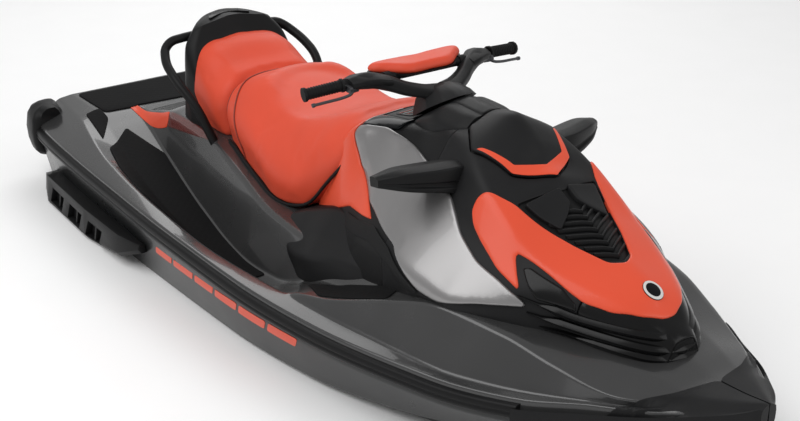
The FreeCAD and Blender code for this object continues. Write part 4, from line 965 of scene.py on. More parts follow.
MIRROR = [(150, [(600, 815), (596, 890), (684, 902), (692, 826)]),
          (215, [(590, 826), (584, 902), (686, 912), (694, 840)]),
          (330, [(568, 838), (560, 902), (648, 908), (654, 856)]),
          (405, [(560, 862), (556, 890), (596, 890), (598, 868)])]
HANDLE = [(-640, -228, 560), (-715, -262, 700), (-800, -290, 775), (-885, -284, 815),
          (-945, -256, 850), (-958, -222, 872), (-952, -150, 880), (-952, 150, 880),
          (-958, 222, 872), (-945, 256, 850), (-885, 284, 815), (-800, 290, 775),
          (-715, 262, 700), (-640, 228, 560)]
SHELL = [(590, [(-760, 0), (-760, -206), (-850, -214), (-950, -192), (-1015, -112), (-1036, 0)]),
         (760, [(-800, 0), (-800, -206), (-870, -218), (-940, -182), (-990, -106), (-1010, 0)]),
         (890, [(-850, 0), (-850, -188), (-890, -206), (-934, -166), (-978, -98), (-998, 0)]),
         (950, [(-890, 0), (-888, -140), (-902, -160), (-930, -140), (-966, -88), (-985, 0)])]
SIDE_BOX = [(-30, [(200, 450), (335, 450), (335, 485), (298, 550), (200, 555)]),
            (60, [(200, 398), (366, 398), (372, 470), (292, 590), (200, 590)]),
            (215, [(200, 428), (402, 428), (396, 510), (284, 636), (200, 636)]),
            (380, [(200, 490), (385, 490), (372, 552), (304, 612), (200, 612)]),
            (550, [(200, 548), (338, 548), (334, 556), (318, 570), (200, 570)])]


# Stage, in metres: floor, lamps as (name, place, aim, size, watts) and the photo's camera
FLOOR_REACH = 40
LAMPS = (("Key", (-0.2, -3.6, 4.9), (0.1, 0, 0.3), 4.5, 175),
         ("Fill", (4.5, 1.5, 3.0), (0.3, 0, 0.3), 3.5, 60),
         ("Back", (-4.0, 2.5, 4.0), (-0.2, 0, 0.3), 4.0, 90))
CAMERA_PLACE = (3.536, -2.461, 2.149)
CAMERA_AIM = (0.12, 0.011, 0.320)
LENS = {"sensor_width": 36, "lens": 64.31, "shift_x": 0.0009, "shift_y": -0.0025,
        "clip_end": 200}


# The CAD's own shapes: node, body, edge radius in metres, finish and record slot
JET = (("pump_housing", "craft", 0.0015, "Cast_metal", "pump_alloy"),
       ("venturi", "craft", 0.0012, "Cast_metal", "pump_alloy"),
       ("steering_nozzle", "nozzle", 0.0012, "Cast_metal", "pump_alloy"),
       ("reverse_bucket", "bucket", 0.0015, "Coated_metal", "pump_alloy"),
       ("impeller", "rotor", 0.0008, "Cast_metal", "steel"),
       ("ride_plate", "craft", 0.002, "Satin_black", "matte_black"),
       ("intake_grate", "craft", 0.0015, "Cast_metal", "pump_alloy"),
       ("sponsons", "craft", 0.004, "Satin_black", "matte_black"))


def plan_loop(points, radius=14, step=7):
    """Outline drawn in plan, rounded and laid out on the front body's skin."""
    return BODY.from_plan(traced(points, radius, step))


def side_loop(points, radius=14, step=7):
    """Outline drawn from the side, rounded and laid out on the front body's skin."""
    return BODY.from_side(traced(points, radius, step))


def grown(points, gap):
    """Outline moved outwards by the gap."""
    loop = np.array(points, float)
    area = np.sum(loop[:, 0] * np.roll(loop[:, 1], -1) - np.roll(loop[:, 0], -1) * loop[:, 1])
    before = loop - np.roll(loop, 1, axis=0)
    after = np.roll(loop, -1, axis=0) - loop
    sign = math.copysign(1, area)
    made = []
    for p, a, b in zip(loop, before, after):
        na = np.array([a[1], -a[0]]) / max(np.hypot(*a), 1e-6) * sign
        nb = np.array([b[1], -b[0]]) / max(np.hypot(*b), 1e-6) * sign
        m = na + nb
        made.append(p + m * gap / max(m @ na, 0.35))
    return [tuple(p) for p in made]


def band(x0, x1, step=14):
    """The front body's whole skin between two stations, as a loop in (u, v)."""
    xs = np.arange(x0, x1, step).tolist() + [x1]
    right = [(x, -BODY.edge(x)) for x in xs]
    left = [(x, BODY.edge(x)) for x in reversed(xs)]
    top = []
    for (x, v), sign in ((right[-1], 1), (left[-1], -1)):
        count = max(int(2 * abs(v) / step), 2)
        top.append([(x, v + sign * 2 * abs(v) * k / count) for k in range(1, count)])
    return right + top[0] + left + top[1]


# Pieces

class BuildHull(Operator):
    """Hull with its strakes, chine, pump tunnel and water intake"""
    bl_idname = "watercraft.hull"
    bl_label = "Hull"

    def execute(self, context):
        stations = np.linspace(-1490, 1650, 190)
        rows = ring_rows(stations, hull_outline, lambda x: under_deck(x, 1.0))
        hull = loft("Hull", rows, sharp=30)
        arch = [(TUNNEL_HALF * math.cos(a), TUNNEL_AXIS + TUNNEL_HALF * math.sin(a))
                for a in np.linspace(0, math.pi, 24)]
        outline = [(TUNNEL_HALF, -60)] + arch + [(-TUNNEL_HALF, -60)]
        tunnel = loft("cutter", [[(x, y, h) for y, h in outline] for x in (-1560, -1030)])
        side = [(-1031, 75), (-1031, 225), (-970, 217), (-520, -30), (-921, -30), (-941, 12),
                (-991, 75)]
        duct = loft("cutter", [[(x, y, h) for x, h in side] for y in (-DUCT_HALF, DUCT_HALF)])
        cut_out(hull, (tunnel, duct), 30)
        dress(hull, "craft", "Hull_gloss", ["hull"])
        self.stripe()
        return {"FINISHED"}

    def stripe(self):
        """Plain broken coral stripe along each side."""
        runs = [(-430, -318), (-304, -176), (-162, -48), (-34, 92), (106, 244), (258, 392)]
        made = []
        for start, end in runs:
            corners = []
            for x, h in ((start, 337), (end, 337), (end + 26, 375), (start + 26, 375)):
                line, arc = HULL.unrolled(x)
                corners.append((x, -np.interp(h, line[:, 1], arc)))
            loop = traced(corners, 8, 8)
            made.append(panel("stripe", HULL, loop[::-1], 2.0, 0.5, 0.6, step=14))
        stripe = twin(join("Hull_stripe", made))
        dress(stripe, "craft", "Coral_gloss")


class BuildDeck(Operator):
    """Deck with its footwells and raised gunwales"""
    bl_idname = "watercraft.deck"
    bl_label = "Deck"

    def execute(self, context):
        stations = np.concatenate([np.linspace(-1620, 1500, 200), np.linspace(1512, 1650, 14)])
        deck = loft("Deck", ring_rows(stations, deck_outline, under_deck), sharp=34)
        dress(deck, "craft", "Deck_gloss", ["deck"])
        return {"FINISHED"}


class BuildRails(Operator):
    """Rub rails, bow bumper and stern corner caps"""
    bl_idname = "watercraft.rails"
    bl_label = "Rails and bumpers"

    def execute(self, context):
        rows = []
        for x in np.linspace(-1490, 1175, 170):
            y, h = along(RAIL, x)
            n = narrowing(y)
            depth, high = RAIL_DEPTH * n, 23
            inner = y - depth - 10
            corners = [(inner, h - high), (y - depth * 0.35, h - high + 2), (y - 1, h - 8),
                       (y - 5, h - 2), (y - 1, h + 4), (y - depth * 0.3, h + high - 3),
                       (inner, h + high)]
            line = eased(corners, [0, 5, 4, 2, 4, 6, 0], steps=2)
            rows.append([(x, -a, b) for a, b in line])
        dress(twin(loft("Rub_rails", rows, sharp=40)), "craft", "Satin_black",
              ["rub_rails"])
        self.bumper()
        self.caps()
        return {"FINISHED"}

    def bumper(self):
        """Moulding that wraps the bow's edge and laps over the deck."""
        crest = [(1165, 392, 0), (1260, 320, 0), (1370, 250, 0), (1460, 120, 0), (1500, 3, 0),
                 (1655, 2, 0)]
        rows = []
        for x in np.linspace(1168, 1656, 60):
            y, h = along(RAIL, min(x, 1650))
            y = y + 4
            inner = min(along(crest, x)[0], y - 8)
            across = np.linspace(y - 16, inner, 7) if y - 16 > inner else np.full(7, inner)
            uv = np.array(DECK.from_plan([(min(x, 1650), -a) for a in across]))
            on_deck = DECK.place(uv[:, 0], uv[:, 1], -5.0)
            under = DECK.place(uv[-1:, 0], uv[-1:, 1], 8.0)
            outer = [(x, -max(y - 22, 1), h - 44), (x, -(y - 5), h - 40), (x, -y, h - 24),
                     (x, -(y + 1), h), (x, -(y - 2), h + 14)]
            top = [(x, p[1], p[2]) for p in on_deck]
            rows.append(outer + top + [(x, under[0][1], under[0][2])])
        bumper = twin(loft("Bow_bumper", rows, sharp=45))
        dress(bumper, "craft", "Charcoal_moulding", ["bow_bumper"])

    def caps(self):
        """Rounded rubber blocks on the stern's corners."""
        plan = [(-1489, 420), (-1489, 568), (-1560, 562), (-1620, 546), (-1655, 506),
                (-1659, 440), (-1640, 405)]
        rows = []
        for height, inset in ((326, 46), (334, 30), (352, 12), (385, 3), (430, 0), (480, 8),
                              (505, 24), (518, 48), (521, 72)):
            middle = np.array([-1550, 480])
            ring = []
            for x, y in eased(plan, 26, steps=4, closed=True):
                away = np.array([x, y]) - middle
                size = np.hypot(*away)
                px, py = np.array([x, y]) - away / size * min(inset, size * 0.8)
                ring.append((max(px, -1659) if x < -1489.5 else x, -py, height))
            rows.append(ring)
        caps = twin(loft("Corner_caps", rows, sharp=50))
        dress(caps, "craft", "Satin_black", ["corner_caps"])


class BuildMats(Operator):
    """Foam mats in the footwells, on the ledges and on the boarding platform"""
    bl_idname = "watercraft.mats"
    bl_label = "Mats"

    def execute(self, context):
        inner = [(x, along(FLOOR_IN, x)[0] + 6) for x in (-60, -200, -400, -600, -800, -1000)]
        well = inner + [(-1160, 296), (-1212, 308), (-1084, 438), (-900, 486), (-660, 520),
                        (-420, 462), (-60, 460)]
        small = [(-1376, 396), (-1392, 330), (-1304, 336), (-1152, 430)]
        ledge = [(272, 438), (396, 481), (520, 452), (640, 410), (632, 350), (530, 372),
                 (424, 388)]
        made = []
        for outline in (well, small, ledge):
            corners = [(x, -y) for x, y in outline]
            loop = DECK.from_plan(traced(corners, 12, 9))
            made.append(panel("mat", DECK, loop, 4.0, 2.5, 4.5, step=12))
        mats = twin(join("Footwell_mats", made))
        dress(mats, "craft", "Foam_mat", ["footwell_mats"])
        corners = whole([(-1600, 0), (-1600, -330), (-1350, -330), (-1330, 0)])
        loop = DECK.from_plan(traced(corners, 24, 10))
        platform = panel("Platform_mat", DECK, loop, 4.0, 2.5, 4.8, step=14)
        dress(platform, "craft", "Foam_mat", ["platform_mat"])
        for name, outline, ink in (
                ("Well_stripe", [(-1376, 192), (-1056, 196), (-1040, 219), (-1372, 222)],
                 "Coral_gloss"),
                ("Well_band", [(-1048, 197), (-756, 214), (-664, 241), (-1032, 219)],
                 "Dark_red_gloss")):
            loop = DECK.from_plan(traced([(x, -y) for x, y in outline], 5, 9))
            dress(twin(panel(name, DECK, loop, 5.0, 0.8, 2.4, step=10)), "craft", ink)
        return {"FINISHED"}


class BuildBody(Operator):
    """Dark skin of the front body: console, lid surround and nose"""
    bl_idname = "watercraft.body"
    bl_label = "Front body"

    def execute(self, context):
        lid_hole = plan_loop(grown(LID, 5))
        glove_hole = plan_loop(grown(GLOVE, 4))
        vent_hole = plan_loop(grown(GRILLE, 1), 8)
        console = panel("Console", BODY, band(150, 560), 9, 2, -5, [glove_hole], step=14)
        dress(console, "craft", "Satin_black", ["console"])
        skin = panel("Hood_surround", BODY, band(562, 1158), 9, 2, -4,
                     [lid_hole, vent_hole], step=12)
        dress(skin, "craft", "Charcoal_moulding", ["hood_surround"])
        nose = panel("Nose", BODY, band(1160, 1376), 12, 5, -4, step=10)
        dress(nose, "craft", "Gloss_black", ["nose_trim"])
        self.core()
        return {"FINISHED"}

    def core(self):
        """Frame under the panels, with the bin's and the glovebox's room cut out."""
        rows = ring_rows(np.linspace(12, 1374, 120), lambda x: body_outline(x, 0.0))
        core = loft("Front_body", rows, sharp=40)
        bin_plan = [(618, 84), (686, 122), (794, 104), (842, 44)]
        bin_plan += [(x, -y) for x, y in reversed(bin_plan)]
        glove_plan = [(208, 66), (306, 66), (306, -66), (208, -66)]
        cut_out(core, [loft("cutter", [[(x, y, h) for x, y in plan] for h in (low, 1100)])
                       for plan, low in ((bin_plan, 716), (glove_plan, 790))], 40)
        dress(core, "craft", "Satin_black", ["front_body"])


class BuildPanels(Operator):
    """Coral hood, silver wings, seat trim, lids and hood inserts"""
    bl_idname = "watercraft.panels"
    bl_label = "Panels"

    def execute(self, context):
        rim = sizes().panel_rim * 1000
        depth = sizes().panel_depth * 1000
        hood = panel("Hood", BODY, plan_loop(HOOD, 16, 6), depth, rim, 1.0, step=8)
        dress(hood, "craft", "Coral_gloss", ["hood"])
        back = [(176, 872), (206, 828), (250, 782), (372, 724), (484, 707), (600, 686)]
        line = np.array(BODY.from_side(traced(back + back[-2:0:-1], 6, 10)))
        wings = twin(panel("Wings", BODY, side_loop(WING, 18, 7), depth, rim, -3.0, step=9,
                           relief=lambda u, v: 9 * np.clip(off_edge(
                               np.stack([u, v], 1), [line]) / 46, 0, 1)))
        dress(wings, "craft", "Silver_gloss", ["wings"])
        trim = twin(panel("Side_trim", BODY, side_loop(TRIM, 10, 8), depth, rim, 0.0, step=10))
        dress(trim, "craft", "Coral_gloss", ["seat_trim"])
        insert = twin(panel("Hood_inserts", BODY, side_loop(INSERT, 6, 5), depth, rim, 0.0,
                            step=7))
        dress(insert, "craft", "Gloss_black", ["hood_inserts"])
        lid = panel("Storage_lid", BODY, plan_loop(LID, 14, 6), depth, rim, 4.0, step=8)
        dress(lid, "lid", "Charcoal_moulding", ["storage_lid"])
        vee = [(869, 0), (800, -103), (690, -141), (700, -128), (786, -86), (822, 0)]
        vee += [(x, -y) for x, y in reversed(vee[1:-1])]
        mark = panel("Lid_stripe", BODY, BODY.from_plan(traced(vee, 4, 5)), 2.0, 0.6, 4.7, step=8)
        dress(mark, "lid", "Coral_gloss")
        glove = panel("Glovebox_lid", BODY, plan_loop(GLOVE, 12, 6), depth, rim, 0.0, step=9)
        dress(glove, "glovebox", "Satin_black", ["glovebox_lid"])
        return {"FINISHED"}


class BuildVent(Operator):
    """Vent ahead of the lid: recessed floor, two plates and chevron ribs"""
    bl_idname = "watercraft.vent"
    bl_label = "Vent"

    def execute(self, context):
        floor = panel("Vent_floor", BODY, plan_loop(GRILLE, 8, 6), 4, 1, -11, step=9)
        dress(floor, "craft", "Satin_black", ["vent_grille"])
        plate = [(895, -14), (884, -126), (928, -112), (985, -84), (962, -40), (940, -14)]
        plates = twin(panel("Vent_plates", BODY, plan_loop(plate, 6, 5), 13, 3.0, 2.5, step=8))
        dress(plates, "craft", "Charcoal_moulding")
        ribs = self.ribs()
        dress(ribs, "craft", "Satin_black")
        return {"FINISHED"}

    def ribs(self):
        """Chevron ribs, each laid across the skin."""
        made = []
        count = sizes().rib_count
        for k in range(count):
            x = 962 + 21 * k
            half = np.interp(x - 26, [900, 940, 1040, 1118, 1140], [130, 116, 76, 40, 10])
            rows = []
            for share in np.linspace(-1, 1, 17):
                y = share * half
                u = x + 12 - 60 * abs(share) * half / 100
                v = BODY.from_plan([(u, y if abs(y) > 1e-3 else 1e-3)])[0][1]
                corner = [(-5.0, 10.5), (-4.5, 1.4), (-1.5, 0.4), (5.0, 6.5), (6.0, 10.5)]
                us = np.array([u + a for a, _ in corner])
                depth = np.array([d for _, d in corner])
                rows.append(BODY.place(us, np.full(len(us), v), depth))
            made.append(loft("rib", rows, sharp=40))
        return join("Vent_ribs", made)


class BuildNose(Operator):
    """Stacked black lips under the hood's nose and the badge ring"""
    bl_idname = "watercraft.nose"
    bl_label = "Nose lips and badge"

    def execute(self, context):
        levels = ([(1020, -262, 672), (1097, -216, 652), (1165, -182, 638), (1245, -134, 630),
                   (1305, -94, 626), (1345, -50, 620), (1358, -6, 618)],
                  [(1050, -254, 634), (1109, -214, 618), (1217, -160, 606), (1290, -122, 600),
                   (1340, -84, 594), (1366, -42, 590), (1373, -6, 588)],
                  [(1080, -234, 600), (1190, -170, 586), (1280, -130, 578), (1336, -94, 572),
                   (1366, -52, 568), (1375, -6, 566)])
        profile = [(-34, 15), (-2, 12), (8, 2), (4, -9), (-34, -16)]
        made = []
        for path in levels:
            line = eased(whole(path), 30, steps=5)
            run = np.gradient(line, axis=0)
            out = np.stack([run[:, 1], -run[:, 0]], 1)
            out /= np.linalg.norm(out, axis=1, keepdims=True)
            if out[len(out) // 2, 0] < 0:
                out = -out
            taper = np.clip(np.minimum(np.arange(len(line)), np.arange(len(line))[::-1]) / 5, 0, 1)
            rows = [[(x + o[0] * a * (0.2 + 0.8 * t), y + o[1] * a * (0.2 + 0.8 * t), h + b * t)
                     for a, b in profile] for (x, y, h), o, t in zip(line, out, taper + 0.02)]
            made.append(bevelled(loft("lip", rows, sharp=30), 0.0015, 30, 2))
        dress(join("Nose_lips", made), "craft", "Gloss_black")
        self.badge()
        return {"FINISHED"}

    def badge(self):
        """Blank disc with a pale ring on the hood's nose."""
        turn = np.linspace(0, 2 * math.pi, 48, endpoint=False)

        def circle(radius):
            return [(BADGE_X + radius * math.cos(a), radius * math.sin(a)) for a in turn]

        disc = panel("Badge", BODY, circle(27.0), 5, 1.2, 3.2, step=5)
        dress(disc, "craft", "Screen_glass", ["badge"])
        ring = panel("Badge_ring", BODY, circle(26.0), 5, 1.2, 4.2, [circle(19.0)], step=5)
        dress(ring, "craft", "Pale_print")


class BuildSeats(Operator):
    """Vinyl seats, stuffed by cloth simulation, with their welts"""
    bl_idname = "watercraft.seats"
    bl_label = "Seats"

    def execute(self, context):
        rear = self.cushion("Cushion_rear", REAR_SEAT, 14, -913, -617, 34)
        front = self.cushion("Cushion_front", FRONT_SEAT, 18, -612, 174, 22)
        for obj, node in ((rear, "seat_rear"), (front, "seat_front")):
            dress(obj, "craft", "Seat_vinyl", [node])
        self.welts(front, rear)
        return {"FINISHED"}

    def cushion(self, name, rows, cap, aft, ahead, rounding):
        """Closed pad through the seat's sections, its ends rounded, then stuffed."""
        outline = seat_outline(rows)
        made = []
        for x, turn in self.stations(aft, ahead, rounding):
            half = [(x, y, h) for y, h in outline(x)]
            inset = rounding * (1 - turn)
            middle = 0.5 * (half[0][2] + half[-1][2])
            wide = max(p[1] for p in half)
            tall = half[0][2] - middle
            drawn = [(x, y * (1 - inset / wide), middle + (h - middle) * (1 - inset / tall))
                     for x, y, h in half]
            far = [(x, -y, h) for x, y, h in reversed(drawn) if abs(y) > 1e-6]
            made.append(drawn + far)
        pad = loft(name, made, sharp=60)
        if name == "Cushion_front":
            self.scoop(pad)
        stuffed(pad, 0.0065, cap / 3000)
        tidy(pad, 70)
        return pad

    def stations(self, aft, ahead, rounding):
        """(x, share of the full section) along the cushion, closer at its round ends."""
        def bend(a):
            return rounding * (1 - math.cos(a * math.pi / 2)), math.sin(a * math.pi / 2)

        first = [(aft + back, turn) for back, turn in map(bend, np.linspace(0.1, 1, 7))]
        last = [(ahead - back, turn) for back, turn in map(bend, np.linspace(1, 0.1, 7))]
        middle = np.linspace(aft + rounding + 8, ahead - rounding - 8, 44)
        return first + [(x, 1.0) for x in middle] + last

    def scoop(self, pad):
        """Hollow of the driver's place and the bolster that rises behind it."""
        for vertex in pad.data.vertices:
            x, y, z = vertex.co * 1000
            if z + DRAFT < 700:
                continue
            far = math.hypot((x + 232) / 232, y / 196)
            share = max(1 - far, 0)
            vertex.co.z -= 0.024 * min(share / 0.16, 1.0) ** 1.2 * (0.45 + 0.55 * share)
            aft = min(max((-x - 240) / 140, 0), 1)
            vertex.co.z += 0.009 * aft * math.exp(-((far - 1.08) / 0.09) ** 2)

    def welts(self, front, rear):
        """Dark piping on the seams, laid on the finished cushions."""
        radius = sizes().welt_radius * 1000
        seams = []
        sections = seat_outline(FRONT_SEAT)
        for shift, low in ((-610, -612), (-548, -392)):
            path = []
            for x_end, side in ((low, -1), (low, 1)):
                half = sections(shift)
                arc = np.linspace(1, 0, 34) if side < 0 else np.linspace(0, 1, 34)
                for s in arc:
                    x = shift + (x_end - shift) * s ** 2.2
                    line = sections(x)
                    k = s * 0.82 * (len(line) - 1)
                    i = min(int(k), len(line) - 2)
                    y, h = line[i] + (line[i + 1] - line[i]) * (k - i)
                    path.append((x, side * y, h))
            seams.append(path)
        made = [laid(f"welt{k}", front, path, radius, 0.35) for k, path in enumerate(seams)]
        dress(join("Cushion_welts", made), "craft", "Seam_vinyl")
        edge = [(176, -200, 812), (172, -214, 790), (150, -224, 748), (92, -246, 678),
                (22, -262, 588), (-48, -268, 556), (-123, -276, 540), (-200, -280, 545),
                (-300, -262, 560), (-420, -240, 580), (-520, -216, 590), (-600, -200, 596)]
        skirt = twin(bar("Cushion_edge", edge, 5.5, steps=8))
        dress(skirt, "craft", "Rubber")


class BuildHandlebar(Operator):
    """Steering yoke with its shrouds, grips, levers and padded cover"""
    bl_idname = "watercraft.handlebar"
    bl_label = "Handlebar"

    def execute(self, context):
        column = softened("steering_column", "Steering_column", 0)
        dress(column, "craft", "Satin_black")
        self.yoke()
        self.cross_tube()
        self.grips()
        self.pad()
        return {"FINISHED"}

    def yoke(self):
        """Hub cover and the two arms that rise from it to the grips."""
        arm = []
        for x, y, h, wide, tall in smooth_rows(ARM, 26):
            corners = [(-wide, -tall * 0.6), (0, -tall), (wide, -tall * 0.6),
                       (wide, tall * 0.5), (0, tall), (-wide, tall * 0.5)]
            ring = rounded(corners, 7)
            arm.append([(x + a, -y, h + b) for a, b in ring])
        arms = twin(loft("Handlebar", arm, sharp=34))
        lean, rise = math.cos(RAKE), math.sin(RAKE)
        hub = loft("hub", [[(COLUMN_TOP[0] + f * lean - up * rise, y,
                             COLUMN_TOP[1] + f * rise + up * lean)
                            for f, y in rounded(whole(plan), 7)]
                           for up, plan in HUB], sharp=34)
        dress(join("Handlebar", [arms, hub]), "handlebar_set", "Charcoal_moulding",
              ["handlebar"])
        shroud = []
        for x, y, h, wide, tall in smooth_rows(SHROUD, 12):
            ring = rounded([(-wide, -tall), (wide, -tall), (wide, tall * 0.3), (0, tall),
                          (-wide, tall * 0.4)], 6)
            shroud.append([(x + a, -y, h + b) for a, b in ring])
        shrouds = twin(loft("Arm_shrouds", shroud, sharp=40))
        dress(shrouds, "handlebar_set", "Satin_black")

    def cross_tube(self):
        """Tube between the arms with its two clamps."""
        tube = bar("Cross_tube", [(262, -172, 1044), (262, 0, 1044), (262, 172, 1044)], 14,
                   order=2)
        clamp = bar("clamp", [(262, -150, 1044), (262, -128, 1044)], 18, order=2)
        dress(join("Cross_tube", [tube, twin(clamp)]), "handlebar_set", "Rubber")

    def grips(self):
        """Grips with flanges and rings, and a lever with its perch at each."""
        root = np.array([230, -272, 1037.0])
        end = np.array([206, -394, 1024.0])
        run = end - root
        body = bar("Grips", [tuple(root + run * t) for t in (0, 0.33, 0.66, 0.985)], 16.6, order=2)
        flange = [bar("flange", [tuple(root + run * a), tuple(root + run * b)], r, order=2)
                  for a, b, r in ((0.0, 0.05, 21), (0.93, 1.0, 21.5))]
        base = join("Grips", [body] + flange)
        rings = grip_rings(root + run * 0.1, root + run * 0.9, 17.2, 13)
        dress(twin(join("Grips", [base, rings])), "handlebar_set", "Rubber",
              ["grips"])
        lever = bar("lever", [(246, -246, 1034), (268, -258, 1020), (268, -296, 1013),
                              (258, -340, 1008), (246, -384, 1002)], 4.6)
        knob = bar("knob", [(246, -380, 1002.3), (245, -388, 1001.3)], 6.4, order=2)
        perch = loft("perch", [[(x, -y, h) for x, h in ring] for y, ring in (
            (236, eased([(226, 1018), (262, 1018), (262, 1040), (226, 1040)], 6, closed=True)),
            (268, eased([(230, 1020), (266, 1018), (264, 1036), (232, 1038)], 6, closed=True)))])
        dress(twin(join("Levers", [lever, knob, perch])), "handlebar_set", "Coated_metal",
              ["levers"])

    def pad(self):
        """Coral cushion over the cross tube."""
        rows = []
        for h, plan in PAD_LEVELS:
            ring = rounded(whole(plan), 7)
            rows.append([(x, y, h) for x, y in ring])
        pad = loft("Handlebar_pad", rows, sharp=50)
        stuffed(pad, 0.004, 0.004)
        dress(subdivided(pad, 60), "handlebar_set", "Seat_vinyl",
              ["handlebar_pad"])
        foot = rounded(whole(PAD_LEVELS[0][1]), 7)
        base = loft("Pad_base", [[(x, y, h) for x, y in foot] for h in (1046, 1052)], sharp=50)
        dress(base, "handlebar_set", "Satin_black")


class BuildFittings(Operator):
    """Cowl and display, mirrors, grab handle, seat back, side boxes and towing eyes"""
    bl_idname = "watercraft.fittings"
    bl_label = "Fittings"

    def execute(self, context):
        self.cowl()
        self.display()
        self.mirrors()
        self.handle()
        self.shell()
        self.boxes()
        for node in ("bow_eye", "stern_eyes"):
            dress(softened(node, None, 0.0012), "craft", "Cast_metal")
        dress(softened("storage_bin", None, 0.001), "craft", "Satin_black")
        return {"FINISHED"}

    def cowl(self):
        """Housing round the column with a raised middle."""
        lines = [[(row[0],) + row[1][k] for row in COWL] for k in range(4, -1, -1)]

        def section(x):
            points = [along(line, x) for line in lines]
            crown = (-points[1][0], points[1][1])
            return upper_half(eased([crown] + points, [0, 16, 14, 12, 0, 0], steps=4))

        body = loft("Cowl", ring_rows(np.linspace(330, 586, 34), section), sharp=36)
        middle = loft("crest", ring_rows(np.linspace(404, 584, 24),
                                         lambda x: [(y * 0.56, h + (7 if h > 940 else -20))
                                                    for y, h in section(x)[:-6]]), sharp=36)
        bevelled(middle, 0.003, 40, 2)
        dress(join("Cowl", [body, middle]), "craft", "Charcoal_moulding",
              ["gauge_housing"])

    def display(self):
        """Gloss face of the display with its printed lines, on the glovebox lid."""
        dash = whole([(181, -150), (184, -174), (250, -170), (336, -146)])
        hole = plan_loop(grown(GLOVE, 4), 12, 6)
        board = panel("Dash", BODY, plan_loop(dash, 8, 6), 7, 2, 1.5, [hole], step=10)
        dress(board, "craft", "Screen_glass")
        face = whole([(228, -82), (292, -74), (308, -40)])
        screen = panel("Display", BODY, plan_loop(face, 8, 5), 4, 1.5, 2.5, step=8)
        dress(screen, "glovebox", "Screen_glass")
        lines = (("Dash_line", "craft", 185.5, 1.6, -160, -20, 2.3, "Pale_print"),
                 ("Display_line", "glovebox", 240, 1.4, -76, 30, 3.3, "Coral_gloss"),
                 ("Display_mark", "glovebox", 256, 1.6, -72, 44, 3.3, "Pale_print"),
                 ("Display_rule", "glovebox", 272, 1.0, -70, 60, 3.3, "Coral_gloss"))
        for name, body, x, wide, start, end, lift, ink in lines:
            strip = [(x - wide, start), (x - wide, end), (x + wide, end), (x + wide, start)]
            line = panel(name, BODY, plan_loop(strip, 1, 5), 1.5, 0.4, lift, step=6)
            dress(line, body, ink)

    def mirrors(self):
        """Wedge housings with a hollow along the front edge and the glass behind."""
        rings = []
        for y, *flat in smooth_rows([(y,) + tuple(np.ravel(ring)) for y, ring in MIRROR], 26):
            (x0, h0), (x1, h1), (x2, h2), (x3, h3) = np.reshape(flat, (4, 2))
            share = (y - MIRROR[0][0]) / (MIRROR[-1][0] - MIRROR[0][0])
            depth = 8 * math.sin(math.pi * min(max(share * 1.05, 0), 1)) + 1
            front = [(x2 + (x3 - x2) * t - d, h2 + (h3 - h2) * t)
                     for t, d in ((0.52, 0), (0.58, depth), (0.74, depth), (0.8, 0))]
            corners = [(x0, h0), (x1, h1), (0.45 * x1 + 0.55 * x2, max(h1, h2) + 5), (x2, h2)]
            ring = eased(corners + front + [(x3, h3)], [4, 4, 7, 5, 2, 2, 2, 2, 5], steps=3,
                         closed=True)
            rings.append([(x, -y, h) for x, h in ring])
        shells = twin(loft("Mirrors", rings, sharp=42))
        dress(shells, "craft", "Satin_black", ["mirror_housings"])
        glass = []
        for y, *flat in smooth_rows([(y,) + tuple(np.ravel(ring)) for y, ring in MIRROR[1:]], 9):
            (x0, h0), (x1, h1) = np.reshape(flat, (4, 2))[:2]
            inset = 9 + 0.05 * abs(y - 300)
            glass.append([(x0 - 1.5, -y, h0 + inset), (x0 + 2, -y, h0 + inset),
                          (x1 + 2, -y, h1 - inset), (x1 - 1.5, -y, h1 - inset)])
        dress(twin(loft("Mirror_glass", glass)), "craft", "Mirror_glass")

    def handle(self):
        """Bent bar round the passenger seat."""
        path = eased(HANDLE, [0, 50, 50, 46, 40, 30, 26, 26, 30, 40, 46, 50, 50, 0], steps=6)
        dress(bar("Grab_handle", path, 16.5, order=2), "craft", "Satin_black",
              ["grab_handle"])

    def shell(self):
        """Black moulding that hugs the passenger seat's back, with its bare plate."""
        def domed(h, y):
            return h - 48 * (min(abs(y), 210) / 195) ** 2 * max(h - 760, 0) / 190

        flat = [(h,) + tuple(np.ravel(plan)) for h, plan in SHELL]
        rings = []
        for h, *values in smooth_rows(flat, 22):
            plan = whole([tuple(p) for p in np.reshape(values, (-1, 2))][::-1])
            top = max(h - 930, 0) / 20
            middle = np.array([-900.0, 0.0])
            ring = [middle + (np.array(p) - middle) * (1 - 0.03 * top * top)
                    for p in eased(plan, 26, steps=5, closed=True)]
            rings.append([(x, y, domed(h, y)) for x, y in ring])
        shell = bevelled(loft("Back_moulding", rings, sharp=45), 0.004, 50, 3)
        dress(shell, "craft", "Satin_black", ["handle_pad"])
        plate = [(-922, 84), (-938, 76), (-958, 40), (-966, 0), (-958, -40), (-938, -76),
                 (-922, -84), (-914, -80), (-926, -40), (-930, 0), (-926, 40), (-914, 80)]
        ring = rounded(plate, 7)
        blank = loft("Back_plate", [[(x, y, domed(h, y)) for x, y in ring]
                                     for h in (942, 952.5)], sharp=60)
        dress(bevelled(blank, 0.0008, 40, 2), "craft", "Gloss_black")

